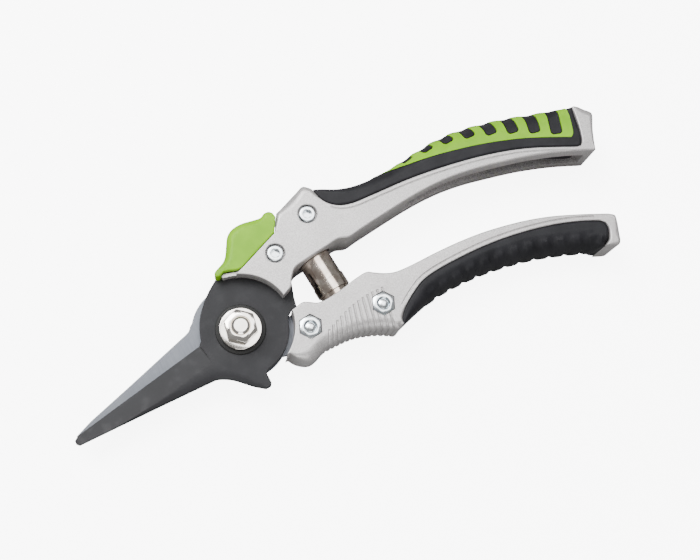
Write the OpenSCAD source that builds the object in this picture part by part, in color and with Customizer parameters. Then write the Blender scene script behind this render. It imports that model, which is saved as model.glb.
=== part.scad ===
// Bypass pruning shears with cast handles, moulded grips, a volute spring and a sliding thumb catch.
// X runs from the pivot towards the handles' ends, Y towards the upper handle, and Z from the
// resting side to the nut side. The origin is on the pivot axis, in the plane that the shears rest on.

/* [Handles] */
// Thickness of both cast handles
handle_thickness = 18; // [15:0.5:22]
// Length of the upper handle behind its head
upper_grip_length = 99; // [80:1:120]
// Length of the lower handle behind its head
lower_grip_length = 83.5; // [68:0.5:102]
// Rubber thickness on each flat side of a grip
grip_wall = 2.6; // [2:0.1:3.5]
// Rubber thickness over the outer edge of a grip
grip_depth = 4; // [3:0.1:5]
// Width of the lightening channel in the upper handle
channel_width = 8; // [6:0.5:9]
// Depth of the lightening channel
channel_depth = 4; // [2:0.5:4.5]

/* [Grip cover] */
// Thickness of the green cover over the upper grip
cover_wall = 1.2; // [0.8:0.1:1.6]
// Number of rubber pads that stand through the cover
pad_count = 8; // [5:1:8]
// Distance from one pad to the next
pad_pitch = 7.8; // [6:0.1:8]
// Width of one pad
pad_width = 4.6; // [3:0.1:5]

/* [Thumb ribs] */
// Number of grooves under the lower handle's head
groove_count = 13; // [8:1:13]
// Distance from one groove to the next
groove_pitch = 1.85; // [1.5:0.05:1.9]
// Radius of one groove
groove_r = 0.55; // [0.3:0.05:0.7]

/* [Blades] */
// Length of the blades from the hub to the tip
blade_length = 50; // [40:1:62]
// Thickness of each blade
blade_thickness = 2.9; // [2.4:0.1:3.5]
// Running gap between the two blades
blade_gap = 0.1; // [0.06:0.02:0.2]
// Radius of the hub on the blade that the upper handle holds
upper_hub_r = 16.2; // [15.4:0.1:16.4]
// Radius of the hub on the blade that the lower handle holds
lower_hub_r = 16.4; // [15.6:0.1:16.6]
// Radius of the arc that each handle's cheek leaves around the hubs
scallop_r = 17.6; // [17.2:0.1:18]
// How far the handles open, in degrees
open_angle = 27; // [20:1:28]

/* [Pivot] */
// Diameter of the pivot bolt
pivot_d = 6; // [5:0.1:7.2]
// Radial clearance of the blade that turns on the bolt
running_clearance = 0.05; // [0.03:0.01:0.09]
// Width across the flats of the pivot nut and the bolt's head
pivot_flats = 10; // [9:0.5:12]
// Height of the pivot nut
pivot_nut_h = 5; // [4:0.5:6]
// Height of the pivot bolt's head
pivot_head_h = 4; // [3:0.1:4.5]
// Diameter of the steel washers on the pivot
washer_d = 14.1; // [12.5:0.1:16]
// Thickness of the steel washers
washer_h = 1.45; // [1:0.05:1.8]
// Diameter of the black friction rings
ring_d = 16.8; // [16.2:0.1:20]
// Thickness of the black friction rings
ring_h = 0.6; // [0.4:0.05:0.8]
// How far the bolt stands out of its nut
bolt_end = 0.8; // [0.4:0.1:1.4]

/* [Blade fasteners] */
// Diameter of the screws through the upper handle
screw_d = 3; // [2.4:0.1:3.6]
// Diameter of those screws' heads
screw_head_d = 5.7; // [5:0.1:6.4]
// Width across the flats of those screws' nuts
screw_nut_flats = 5.5; // [5:0.1:6.6]
// Diameter of the bolts through the lower handle
bolt_d = 4; // [3.2:0.1:4.8]
// Diameter of those bolts' heads
bolt_head_d = 7; // [6:0.1:7.4]
// Width across the flats of those bolts' nuts
bolt_nut_flats = 7; // [6:0.1:8]
// Gap around a fastener's head or nut in its recess
recess_gap = 0.3; // [0.1:0.05:0.65]
// Clearance of a shank in its hole
hole_clearance = 0.1; // [0.05:0.05:0.3]

/* [Volute spring] */
// Outer diameter of the spring
spring_d = 11.2; // [9:0.1:13]
// Thickness of the spring strip
strip_h = 0.9; // [0.6:0.05:1.1]
// Length of the spring with the handles closed
spring_length = 24; // [22:0.5:25]
// Clearance between the spring and its pockets
pocket_clearance = 0.7; // [0.4:0.1:1]

/* [Thumb catch] */
// Travel of the catch towards the hub
catch_travel = 3.5; // [2.5:0.1:3.8]
// Width of the locking tongue
tongue_width = 4; // [3:0.1:4.5]
// Sliding clearance around the catch
slide_clearance = 0.15; // [0.1:0.05:0.3]
// Diameter of the detent ball
ball_d = 3; // [2:0.1:3.2]

/* [Hidden] */

$fn = 48;
over = 1;                                   // how far a cut runs past the face it opens
fit = 0.05;                                 // gap between pieces that are moulded or pressed together
mid_z = handle_thickness / 2;
blade_slot = blade_thickness + blade_gap;   // height of the slot that holds one blade's tang
upper_blade_z = mid_z + blade_gap / 2;
lower_blade_z = mid_z - blade_gap / 2 - blade_thickness;
cheek_h = mid_z - blade_slot;               // thickness of the cheek outside a blade
head_x = 46;                                // where the upper handle's head ends
lower_head_x = 50;                          // where the lower handle's head ends
screw_at = [[21.0, 17.4], [36.7, 25.1]];
bolt_at = [[20.6, -10.0], [46.0, -13.45]];
spring_seat = [35.0, -7.0];
spring_turn = 5.5;                          // how far the spring leans back from the Y axis
catch_turn = 22.7;                          // direction of the catch's slide, from the X axis
seat_n = 12.75;                             // edge of the handle that the catch slides along
edge_n = 17.0;                              // outer edge of the upper handle's head
tongue_n = 2.5;                             // middle line of the locking tongue
tongue_u = 17.1;                            // tip of the tongue when the catch is back
plate_gap = 0.1;                            // gap above and below the slide plate
flange_h = 2.0;                             // thickness of the button's flanges over the casting's lip
flange_gap = 0.15;                          // gap between a flange and the lip that it slides over
ball_at = [24.2, tongue_n];                 // detent ball, under the slide plate
ball_rise = 0.6;                            // how far the ball stands up into the plate's groove
rivet_d = 2;
rivet_at = [[22.6, 15.6], [29.6, 15.6]];    // given along and across the catch's slide
bevel_width = 7.2;                          // width of the ground bevel along a cutting edge
bevel_depth = 2.3;                          // how much the bevel takes off at the edge itself
head_recess = 3.2;                          // depth of the screw heads' counterbores
screw_nut_recess = 2.6;                     // depth of the screw nuts' pockets
bolt_head_recess = 2.5;                     // depth of the bolt heads' counterbores
bolt_nut_recess = 3.4;                      // depth of the bolt nuts' pockets
sunk = 0.1;                                 // how far heads and nuts lie below the casting's faces

// ---- curves ----
function spline(a, b, c, d, t) =
    0.5 * (2 * b + (c - a) * t + (2 * a - 5 * b + 4 * c - d) * t * t + (3 * b - a - 3 * c + d) * t * t * t);
function smooth(p, steps = 4) = concat(
    [for (i = [0:len(p) - 2], k = [0:steps - 1])
        spline(p[max(i - 1, 0)], p[i], p[i + 1], p[min(i + 2, len(p) - 1)], k / steps)],
    [p[len(p) - 1]]);
function arc(r, from, to, steps = 16) =
    [for (k = [0:steps]) let (a = from + (to - from) * k / steps) [r * cos(a), r * sin(a)]];
function moved(p, by) = [for (q = p) q + by];
function back(p) = [for (i = [len(p) - 1:-1:0]) p[i]];
// A point given along the catch's slide (u) and across it (n)
function uv(u, n) = [u * cos(catch_turn) - n * sin(catch_turn), u * sin(catch_turn) + n * cos(catch_turn)];
// The catch's own coordinates of a point
function along(p) =
    [p.x * cos(catch_turn) + p.y * sin(catch_turn), p.y * cos(catch_turn) - p.x * sin(catch_turn)];
function ux(f) = head_x + f * upper_grip_length;
function lx(f) = lower_head_x + f * lower_grip_length;

// ---- upper handle outlines ----
upper_inner = smooth([[22.3, 7.4], [25, 10.1], [30, 11], [38, 12.2], [42.3, 12.8], [46.2, 11.8],
    [ux(.06), 12.7], [ux(.25), 15.2], [ux(.37), 15.9], [ux(.48), 15.2], [ux(.6), 13.1],
    [ux(.71), 10.7], [ux(.82), 7.4], [ux(.92), 3.6]]);
upper_crest = smooth([[42.4, 31.9], [44.8, 31.2], [ux(.05), 28.9], [ux(.12), 27.9], [ux(.22), 28.2],
    [ux(.32), 29.5], [ux(.43), 31], [ux(.52), 31.1], [ux(.61), 30], [ux(.71), 28], [ux(.81), 25.2],
    [ux(.93), 20.9]]);
upper_grip_edge = smooth([[42.2, 31.7], [43.6, 27], [47.1, 23.6], [ux(.06), 22], [ux(.13), 21.7],
    [ux(.28), 21.4], [ux(.43), 20], [ux(.58), 17.5], [ux(.72), 13.6], [ux(.88), 6.9]]);
upper_grip_end = [[ux(.895), 6.8], [ux(.91), 8.6], [ux(.925), 14], [ux(.935), 20.7]];
upper_end = [[ux(.935), 3.2], [ux(.965), 10], [ux(.995), 15.2], [ux(.99), 17.2], [ux(.975), 18.6]];
head_edge = [uv(8.7, 16.2), uv(9.8, 16.1), uv(11.4, 14.9), uv(13.6, 13.1), uv(15, seat_n),
    uv(31.5, seat_n), uv(36.2, 16.2), uv(36.7, edge_n), uv(49.6, edge_n), uv(50.4, 16.4)];
cover_edge = smooth([[ux(.22), 28.2], [ux(.29), 26.8], [ux(.43), 24.8], [ux(.58), 21.8],
    [ux(.72), 17.6], [ux(.85), 12.2]]);
cover_end = [[ux(.885), 10.8], [ux(.9), 12.4], [ux(.92), 18]];

// ---- lower handle outlines ----
lower_inner = smooth([[17.5, -2.4], [19.8, -1.8], [22, -1.5], [24, -2.4], [26.5, -3.8], [30, -3.9],
    [35, -3.2], [41, -1.9], [45.6, -1.4], [48, -2.7], [51.5, -4.6], [lx(.06), -5.6], [lx(.13), -5.8],
    [lx(.24), -5.5], [lx(.36), -5.6], [lx(.48), -6.4], [lx(.62), -8.4], [lx(.74), -11.1],
    [lx(.86), -14.9], [lx(.97), -18.9]]);
lower_end = [[lx(.99), -20], [lx(.996), -21.3], [lx(.975), -27.4], [lx(.96), -30], [lx(.95), -30.8],
    [lx(.935), -30.6]];
lower_crest = smooth([[49.2, -22.4], [lx(.085), -20.1], [lx(.17), -18.5], [lx(.26), -17.9],
    [lx(.36), -17.9], [lx(.47), -18.7], [lx(.61), -20.7], [lx(.74), -23.8], [lx(.89), -28.3]]);
lower_chin = smooth([[10.7, -15], [12, -17.3], [14.2, -19.4], [16.4, -20.2], [18.8, -19.7],
    [21.4, -18.6], [24, -18.2], [33, -18.3], [40, -20.2], [45.8, -22.8], [47.6, -23.3], [49.2, -22.4]]);
lower_grip_edge = smooth([[49.1, -22.3], [49.6, -20.6], [51.8, -18], [54.8, -15.8], [57.6, -14.1],
    [60.8, -12.5], [lx(.18), -11.4], [lx(.27), -10.7], [lx(.4), -10.5], [lx(.51), -11],
    [lx(.62), -12.2], [lx(.74), -14.3], [lx(.85), -17.2], [lx(.925), -19.9]]);
lower_grip_end = [[lx(.942), -21.3], [lx(.943), -23.7], [lx(.925), -27], [lx(.9), -28.5]];

// ---- blade outlines ----
function bx(f) = -13.4 - f * blade_length;
tip_y = -8.5;
upper_cut = [[bx(.97), tip_y], [bx(.02), 1.1]];
upper_spine_y = -11.7;
spur = [[1.6, -20.3], [1.5, -17.2], [2.1, -16.1]];
// The blade and tang that the upper handle holds, with a clearance c around the tang
function upper_blade_outline(c = 0) = concat(
    upper_cut,
    smooth([[-13.2, 2.3], [-12.8, 4.3], [-10.3, 9.5], [-5.7, 14.8], [-.5, 18.8], [1.2, 19.5]]),
    [uv(11.8, 16.5 + c), uv(15.9, 14.5 + c), uv(18.6, 11.9 + c), uv(46.2 + c, 11.9 + c),
     uv(47.4 + c, 10.6), uv(47.4 + c, 7.6), uv(46.2 + c, 6.4 - c), uv(30.5, 6.4 - c)],
    [[22.6 + c, 9], [22.2 + c, 6.6], [20.9 + c, 2.3], [20.2 + c, -1.2], [18.3, -1.3], [17.1, -2.2]],
    arc(upper_hub_r, -13, -80, 14),
    back(spur),
    smooth([[.9, -21.3], [-.9, -21.4], [-4.5, -18.8], [-9.5, -14.2], [-13.5, -12], [-16, upper_spine_y]]),
    [[bx(.985), upper_spine_y], [bx(1), -10.8], [bx(1), -9.6]]);
lower_cut = [[bx(.98), -10], [bx(.2), -8.6]];
// The blade and tang that the lower handle holds, with a clearance c around the tang
function lower_blade_outline(c = 0) = concat(
    [[bx(.98), tip_y + .2], [bx(.86), -5.8], [bx(.54), -.8], [bx(.2), 4.7]],
    [[-17.2, 6.7], [-15.6, 7.4], [-14.2, 8.9]],
    arc(lower_hub_r, 145, 0, 36),
    [[17, -2.4 + c], [22, -2.6 + c], [26, -6.4 + c], [29, -8.9 + c], [41, -9.1 + c], [50 + c, -10.4 + c],
     [51.2 + c, -12], [51.2 + c, -15.6], [50 + c, -17 - c], [24, -15.4 - c], [13.4, -15.4 - c],
     [11.4, -14.2 - c]],
    arc(lower_hub_r, -57, -140, 20),
    [[-17, -9.6]], back(lower_cut));

// ---- shared forms ----
module plate(outline, z, h) {
    translate([0, 0, z]) linear_extrude(h) polygon(outline);
}
module round_hole(at, d, z = -over, h = handle_thickness + 2 * over) {
    translate([at.x, at.y, z]) cylinder(h = h, d = d);
}
module hexagon(at, flats, z, h, turn = 7) {
    translate([at.x, at.y, z]) rotate(turn) cylinder(h = h, d = flats / cos(30), $fn = 6);
}
module ring(d, hole, z, h) {
    difference() {
        translate([0, 0, z]) cylinder(h = h, d = d);
        translate([0, 0, z - over]) cylinder(h = h + 2 * over, d = hole);
    }
}
module along_spring(from = 0) {
    translate([spring_seat.x, spring_seat.y, mid_z]) rotate([0, 0, spring_turn]) rotate([-90, 0, 0])
        translate([0, 0, from]) children();
}
module along_catch(z) {
    rotate(catch_turn) translate([0, 0, z]) children();
}

// ---- upper half ----
upper_casting = concat(arc(scallop_r, 11, 84, 18), head_edge,
    [[41.6, 33.2], [42.4, 31.9]], upper_grip_edge, upper_grip_end, [[ux(.94), 21]],
    back(upper_end), back(upper_inner), [[20.8, 4.8]]);
upper_core = concat(
    moved(back([for (i = [8:len(upper_grip_edge) - 4]) upper_grip_edge[i]]), [0, -1]),
    moved([for (i = [8:len(upper_crest) - 5]) upper_crest[i]], [0, -grip_depth]));

// The channel runs along the stretch of the inner edge between two of its points
channel_from = 27;
channel_to = 51;
channel_outline = concat([for (i = [channel_from:channel_to]) upper_inner[i] + [0, -2 * over]],
    back([for (i = [channel_from + 2:channel_to]) upper_inner[i] + [0, channel_depth]]));
lip_cut = [[5, seat_n], [15, seat_n], [15, 20], [5, 20]];
plate_pocket = [[12, tongue_n - tongue_width / 2 - slide_clearance], [33.5, tongue_n - tongue_width / 2 -
    slide_clearance], [33.5, 20], [12, 20]];
ball_floor = 1.2;                           // the cheek's thickness under the detent spring

module upper_handle() color("gainsboro") difference() {
    union() {
        plate(upper_casting, 0, handle_thickness);
        plate(upper_core, grip_wall, handle_thickness - 2 * grip_wall);
    }
    plate(upper_blade_outline(slide_clearance), mid_z, blade_slot);
    for (at = screw_at) {
        round_hole(at, screw_d + 2 * hole_clearance);
        round_hole(at, screw_head_d + 2 * recess_gap, handle_thickness - head_recess);
        hexagon(at, screw_nut_flats + recess_gap, -over, screw_nut_recess + over);
    }
    // pocket of the slide plate, open at the hub and at the outer edge
    along_catch(cheek_h) plate(plate_pocket, 0, blade_slot + blade_gap);
    along_catch(ball_floor) round_hole(ball_at, ball_d + 2 * hole_clearance, 0, cheek_h);
    // the casting's lip is lower under the button's flanges
    for (z = [-over, handle_thickness - flange_h - flange_gap])
        along_catch(z) plate(lip_cut, 0, flange_h + flange_gap + over);
    // spring pocket
    along_spring(spring_length / 2) cylinder(h = spring_length / 2, d = spring_d + 2 * pocket_clearance);
    // lightening channel in the inner edge
    plate(channel_outline, mid_z - channel_width / 2, channel_width);
}
upper_grip_outline = concat(upper_grip_edge, upper_grip_end, back(upper_crest));
cover_outline = concat(cover_edge, cover_end,
    back([for (i = [17:len(upper_crest) - 1]) upper_crest[i]]));

// The space that a grip leaves for the casting's core, wider than the core all round
module around_core(core, rise) {
    for (shift = [-fit, fit])
        plate(moved(core, [shift, rise]), grip_wall - fit, handle_thickness - 2 * grip_wall + 2 * fit);
}
// The U-shaped skin of a region: its crest and its two flat sides
module skin(outline, wall, grow = 0) {
    difference() {
        plate(outline, 0, handle_thickness);
        plate(moved(outline, [0, -wall - grow]), wall + grow, handle_thickness - 2 * (wall + grow));
    }
}
// The windows through the cover, each square to the crest; the pads grow towards the handle's end
module pad_windows(grow = 0) {
    for (i = [0:pad_count - 1]) {
        x = ux(.312) + i * pad_pitch;
        drop = 1.4 + 1.15 * i;
        turn = 14 - 4.3 * i;
        translate([x, lookup(x, upper_crest), 0]) rotate(turn)
            translate([-pad_width / 2 - grow, -drop - grow, -over])
                cube([pad_width + 2 * grow, drop + 4, handle_thickness + 2 * over]);
    }
}
module upper_grip() color("#3a3a3f") {
    difference() {
        plate(upper_grip_outline, 0, handle_thickness);
        around_core(upper_core, fit);
        difference() {
            skin(cover_outline, cover_wall, fit);
            pad_windows(-fit);
        }
    }
}
module upper_grip_cover() color("yellowgreen") difference() {
    skin(cover_outline, cover_wall);
    pad_windows();
}

module upper_blade() color("dimgray") difference() {
    plate(upper_blade_outline(), upper_blade_z, blade_thickness);
    round_hole([0, 0], pivot_d + 2 * hole_clearance);
    for (at = screw_at) round_hole(at, screw_d + 2 * hole_clearance);
    blade_bevel(upper_cut, upper_blade_z + blade_thickness, 1);
}
// The metal ground off along a cutting edge, from tip to root: above the blade's face at z with the
// blade to the edge's right (up 1), or below the face with the blade to its left (up -1)
module blade_bevel(edge, z, up) {
    way = edge[1] - edge[0];
    past_tip = 4;
    translate([edge[0].x, edge[0].y, z - up * bevel_depth]) rotate(atan2(way.y, way.x))
        rotate([up > 0 ? 0 : 180, 0, 0]) rotate([-atan(bevel_depth / bevel_width), 0, 0])
            translate([-past_tip, -bevel_width * 1.5, 0])
                cube([norm(way) + past_tip, bevel_width * 1.5 + 2 * over, blade_thickness + over]);
}
screw_end = 0.6;                            // height of the shanks' ends, inside their nuts' pockets
screw_socket = 2.5;                         // width across the flats of the heads' sockets
screw_socket_h = 2;
module upper_blade_screws() color("silver") for (at = screw_at) difference() {
    union() {
        round_hole(at, screw_d, screw_end, handle_thickness - head_recess);
        round_hole(at, screw_head_d, handle_thickness - head_recess + fit, head_recess - fit - sunk);
    }
    hexagon(at, screw_socket, handle_thickness - screw_socket_h, screw_socket_h);
}
module upper_blade_nuts() color("silver") for (at = screw_at) difference() {
    hexagon(at, screw_nut_flats, sunk, screw_nut_recess - sunk - fit);
    round_hole(at, screw_d + fit);
}

// ---- pivot ----
ring_z = upper_blade_z + blade_thickness;
washer_z = ring_z + ring_h;
nut_z = washer_z + washer_h;
bolt_top = nut_z + pivot_nut_h + bolt_end;
head_top = lower_blade_z - ring_h - washer_h;
module pivot_bolt() color("silver") {
    translate([0, 0, head_top]) cylinder(h = bolt_top - head_top, d = pivot_d);
    hexagon([0, 0], pivot_flats, head_top - pivot_head_h, pivot_head_h, 20);
}
module pivot_nut() color("silver") difference() {
    hexagon([0, 0], pivot_flats, nut_z, pivot_nut_h, 20);
    round_hole([0, 0], pivot_d + fit, 0, bolt_top + over);
}
module nut_washer() color("silver") ring(washer_d, pivot_d + 2 * hole_clearance, washer_z, washer_h);
module nut_friction_ring() color("black") ring(ring_d, pivot_d + 2 * hole_clearance, ring_z, ring_h);
module head_washer() color("silver") ring(washer_d, pivot_d + 2 * hole_clearance, head_top, washer_h);
module head_friction_ring() color("black")
    ring(ring_d, pivot_d + 2 * hole_clearance, head_top + washer_h, ring_h - blade_gap / 2);

// ---- spring ----
module volute_spring() color("tan") along_spring(fit) rotate_extrude() {
    r = spring_d / 2;
    lap = strip_h * 2 / 3;
    translate([r - strip_h, 0]) square([strip_h, spring_length * .42]);
    translate([r - strip_h - lap, spring_length * .3]) square([strip_h, spring_length * .7 - 2 * fit]);
}

// ---- thumb catch ----
catch_base = seat_n + slide_clearance;
// The button's outline along and across its slide. Its inner layers start their front foot later, by the
// length back, so that the foot never reaches the casting's lip.
function catch_outline(later = 0) = concat(
    smooth([[7.9, 16.3], [7, 17.3], [8, 18.5], [12, 18.9], [14.5, 19.9], [17.3, 22], [20, 23.9],
        [23, 24.4], [26.5, 23.4], [30, 21.3], [32.2, 20], [34, 20], [35.5, 19.2], [36, 17.8]]),
    [[35.6, 16.2], [31.3, catch_base], [15.2 + later, catch_base], [13.7 + later, catch_base + .4],
     [11.6 + later, 15.2], [9.9 + later, 16.4]],
    later > 0 ? [[9.9, 16.4]] : []);
// The part of the button between the cheeks' planes keeps clear of the blade's tang
catch_web = [[13.2, 18.2], [19.5, 15.4], [24, 13.4], [31.6, 13.4], [34.2, 15.6], [35, 17.4], [32, 19],
    [26, 22.4], [22, 23.4], [19, 22.2]];
plate_h = blade_thickness - 2 * plate_gap;  // thickness of the slide plate
plate_rear = 33.2;                          // the plate's rear edge, behind the screw
plate_top = 17.4;                           // its outer edge, inside the button
plate_step = [28.7, 6.2];                   // corner that keeps it clear of the spring's pocket
plate_front = 20.6;
module catch_button() color("yellowgreen") difference() {
    union() {
        for (z = [0, handle_thickness - flange_h]) along_catch(z) plate(catch_outline(), 0, flange_h);
        for (z = [flange_h - fit, mid_z + blade_slot + slide_clearance])
            along_catch(z) plate(catch_outline(catch_travel + 2 * slide_clearance), 0, inner_layer_h + fit);
        along_catch(cheek_h - over) plate(catch_web, 0, 2 * blade_slot + 2 * over);
    }
    along_catch(cheek_h + plate_gap - fit)
        plate([[plate_front - fit, 0], [plate_rear + fit, 0], [plate_rear + fit, plate_top + fit],
               [plate_front - fit, plate_top + fit]], 0, plate_h + 2 * fit);
    along_catch(0) for (at = rivet_at) round_hole(at, rivet_d + 2 * fit, rivet_z - fit, rivet_h + 2 * fit);
}
inner_layer_h = cheek_h - slide_clearance - flange_h;
rivet_z = 4;
rivet_h = handle_thickness - 2 * rivet_z;
module catch_slide_plate() color("lightslategray") along_catch(cheek_h + plate_gap) difference() {
    plate([[tongue_u, tongue_n - tongue_width / 2], [plate_step.x, tongue_n - tongue_width / 2], plate_step,
           [plate_rear, plate_step.y], [plate_rear, plate_top], [plate_front, plate_top],
           [plate_front, tongue_n + tongue_width / 2], [tongue_u, tongue_n + tongue_width / 2]], 0, plate_h);
    // slot that lets the front screw through
    slot_d = screw_d + 4 * hole_clearance;
    slot_at = along(screw_at[0]);
    for (u = [0, catch_travel]) round_hole(slot_at + [u, 0], slot_d);
    plate([slot_at + [0, -slot_d / 2], slot_at + [catch_travel, -slot_d / 2],
           slot_at + [catch_travel, slot_d / 2], slot_at + [0, slot_d / 2]], -over, plate_h + 2 * over);
    for (at = rivet_at) round_hole(at, rivet_d + 2 * fit);
    // groove that the detent ball runs in
    translate([ball_at.x - ball_d / 2, ball_at.y, -plate_gap - ball_d / 2 + ball_rise]) rotate([0, 90, 0])
        cylinder(h = catch_travel + ball_d, d = ball_d + 2 * hole_clearance);
}
module catch_rivets() color("silver") along_catch(rivet_z) for (at = rivet_at)
    round_hole(at, rivet_d, 0, rivet_h);
module catch_detent_ball() color("silver") along_catch(cheek_h - ball_d / 2 + ball_rise)
    translate([ball_at.x, ball_at.y, 0]) sphere(d = ball_d);
module catch_detent_spring() color("silver") along_catch(ball_floor + fit)
    translate([ball_at.x, ball_at.y, 0]) difference() {
        cylinder(h = detent_spring_h, d = ball_d - 0.2);
        translate([0, 0, -over]) cylinder(h = detent_spring_h + 2 * over, d = ball_d - 1.2);
    }
detent_spring_h = cheek_h - ball_floor - ball_d + ball_rise - 2 * fit;

// ---- lower half ----
lower_casting = concat(arc(scallop_r + .2, -57, -8, 14), lower_inner, lower_end,
    back(lower_grip_end), back(lower_grip_edge), back(lower_chin));
lower_core = concat(
    moved([for (i = [14:len(lower_grip_edge) - 3]) lower_grip_edge[i]], [0, 1]),
    moved(back([for (i = [7:len(lower_crest) - 2]) lower_crest[i]]), [0, grip_depth]));
groove_start = 24;
module lower_handle() color("gainsboro") difference() {
    union() {
        plate(lower_casting, 0, handle_thickness);
        plate(lower_core, grip_wall, handle_thickness - 2 * grip_wall);
    }
    plate(lower_blade_outline(slide_clearance), cheek_h, blade_slot);
    for (at = bolt_at) {
        round_hole(at, bolt_d + 2 * hole_clearance);
        round_hole(at, bolt_head_d + 2 * recess_gap, -over, bolt_head_recess + over);
        hexagon(at, bolt_nut_flats + recess_gap, handle_thickness - bolt_nut_recess, bolt_nut_recess + over);
    }
    along_spring(0) cylinder(h = spring_length / 2, d = spring_d + 2 * pocket_clearance);
    for (i = [0:groove_count - 1]) {
        x = groove_start + i * groove_pitch;
        round_hole([x, lookup(x, lower_chin) - groove_r * .3], 2 * groove_r);
    }
}
module lower_grip() color("#3a3a3f") difference() {
    plate(concat(lower_grip_edge, lower_grip_end, back(lower_crest)), 0, handle_thickness);
    around_core(lower_core, -fit);
}
notch_gap = 0.4;                            // gap between the tongue's tip and its notch
module lower_blade() color("lightslategray") difference() {
    plate(lower_blade_outline(), lower_blade_z, blade_thickness);
    round_hole([0, 0], pivot_d + 2 * running_clearance);
    for (at = bolt_at) round_hole(at, bolt_d + 2 * hole_clearance);
    blade_bevel(lower_cut, lower_blade_z, -1);
    // the closed notch that takes the tongue, and the one that clears it when the shears are open
    for (turn = [0, open_angle]) rotate(turn) along_catch(0)
        translate([tongue_u - catch_travel - notch_gap, tongue_n - tongue_width / 2 - slide_clearance, 0])
            cube([tongue_u, tongue_width + 2 * slide_clearance, handle_thickness]);
}
module lower_blade_bolts() color("silver") for (at = bolt_at) {
    round_hole(at, bolt_d, sunk, handle_thickness - 3 * sunk);
    round_hole(at, bolt_head_d, sunk, bolt_head_recess - sunk - fit);
}
module lower_blade_nuts() color("silver") for (at = bolt_at) difference() {
    hexagon(at, bolt_nut_flats, handle_thickness - bolt_nut_recess + fit, bolt_nut_recess - fit - sunk);
    round_hole(at, bolt_d + fit);
}

upper_handle();
upper_grip();
upper_grip_cover();
upper_blade();
upper_blade_screws();
upper_blade_nuts();
pivot_bolt();
pivot_nut();
nut_washer();
nut_friction_ring();
head_washer();
head_friction_ring();
volute_spring();
catch_detent_ball();
catch_detent_spring();
catch_button();
catch_slide_plate();
catch_rivets();
lower_handle();
lower_grip();
lower_blade();
lower_blade_bolts();
lower_blade_nuts();
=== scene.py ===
"""Bypass pruning shears: the looks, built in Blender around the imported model.

Sizes are in millimetres in the model's own frame: X from the pivot along the closed tool, Y towards the
upper handle, Z from the resting side to the nut side. Meshes are made in metres.
"""

import logging
import math
from collections.abc import Callable, Sequence
from dataclasses import dataclass, field
from enum import Enum

import bmesh
import bpy
import numpy as np
from mathutils import Matrix, Vector


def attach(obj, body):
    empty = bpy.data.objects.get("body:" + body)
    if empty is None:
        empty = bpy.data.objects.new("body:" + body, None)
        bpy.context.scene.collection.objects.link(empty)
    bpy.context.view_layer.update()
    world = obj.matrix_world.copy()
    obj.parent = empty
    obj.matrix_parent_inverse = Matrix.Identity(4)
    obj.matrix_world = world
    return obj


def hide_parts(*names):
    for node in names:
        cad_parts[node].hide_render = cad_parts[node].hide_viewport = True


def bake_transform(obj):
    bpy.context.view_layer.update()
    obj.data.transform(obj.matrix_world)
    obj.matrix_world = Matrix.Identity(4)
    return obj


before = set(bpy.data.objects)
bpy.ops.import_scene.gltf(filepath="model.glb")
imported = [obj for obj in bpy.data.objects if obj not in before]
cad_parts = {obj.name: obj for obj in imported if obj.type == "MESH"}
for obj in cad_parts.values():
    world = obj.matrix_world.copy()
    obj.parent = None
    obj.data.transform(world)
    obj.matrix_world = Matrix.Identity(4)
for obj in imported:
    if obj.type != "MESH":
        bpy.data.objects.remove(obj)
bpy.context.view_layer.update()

log = logging.getLogger("shears")

MM = 0.001
Point = tuple[float, float]
Relief = Callable[[np.ndarray], np.ndarray]

# ---- sizes that several pieces share, as the model has them ----
THICK = 18.0                 # thickness of both castings
MID = THICK / 2
CHEEK = 6.0                  # thickness of a casting's cheek outside a blade
BLADE = 2.9                  # thickness of a blade
BLADE_GAP = 0.1
CATCH_TURN = 22.7            # direction of the catch's slide, from the X axis
HEAD_X, UPPER_LENGTH = 46.0, 99.0
LOWER_HEAD_X, LOWER_LENGTH = 50.0, 83.5
SCREWS: tuple[Point, ...] = ((21.0, 17.4), (36.7, 25.1))
BOLTS: tuple[Point, ...] = ((20.6, -10.0), (46.0, -13.45))
SPRING_SEAT: Point = (35.0, -7.0)
SPRING_LEAN = 5.5            # how far the spring leans from the Y axis, in degrees
SPRING_LENGTH = 24.0
SPRING_POCKET = 6.3          # radius of the pockets that the spring's ends sit in


class Body(Enum):
    """The bodies that pieces ride on."""

    UPPER = "upper_half"
    CATCH = "thumb_catch"
    LOWER = "lower_half"


class Slot(Enum):
    """The record's material slots."""

    CAST_ALLOY = "cast_alloy"
    COATED_STEEL = "coated_steel"
    BLADE_STEEL = "blade_steel"
    ZINC_PLATE = "zinc_plate"
    NICKEL_PLATE = "nickel_plate"
    SPRING_STEEL = "spring_steel"
    BLACK_RUBBER = "black_rubber"
    BLACK_PLASTIC = "black_plastic"
    GREEN_PLASTIC = "green_plastic"


class Cut(Enum):
    """What a boolean does with its cutter."""

    REMOVE = "DIFFERENCE"
    KEEP = "INTERSECT"


# ---------------------------------------------------------------- outlines

def smooth(points: Sequence[Point], steps: int = 10) -> list[Point]:
    """Draws a smooth curve through points.

    Args:
        points: the points that the curve passes through.
        steps: how many pieces each span is drawn in.

    Returns:
        The points along the curve, ends included.
    """
    p = [np.array(q, float) for q in points]
    drawn: list[Point] = []
    for i in range(len(p) - 1):
        a, b, c, d = p[max(i - 1, 0)], p[i], p[i + 1], p[min(i + 2, len(p) - 1)]
        for k in range(steps):
            t = k / steps
            square, cube = 2 * a - 5 * b + 4 * c - d, 3 * b - a - 3 * c + d
            q = 0.5 * (2 * b + (c - a) * t + square * t**2 + cube * t**3)
            drawn.append((float(q[0]), float(q[1])))
    return [*drawn, points[-1]]


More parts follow.
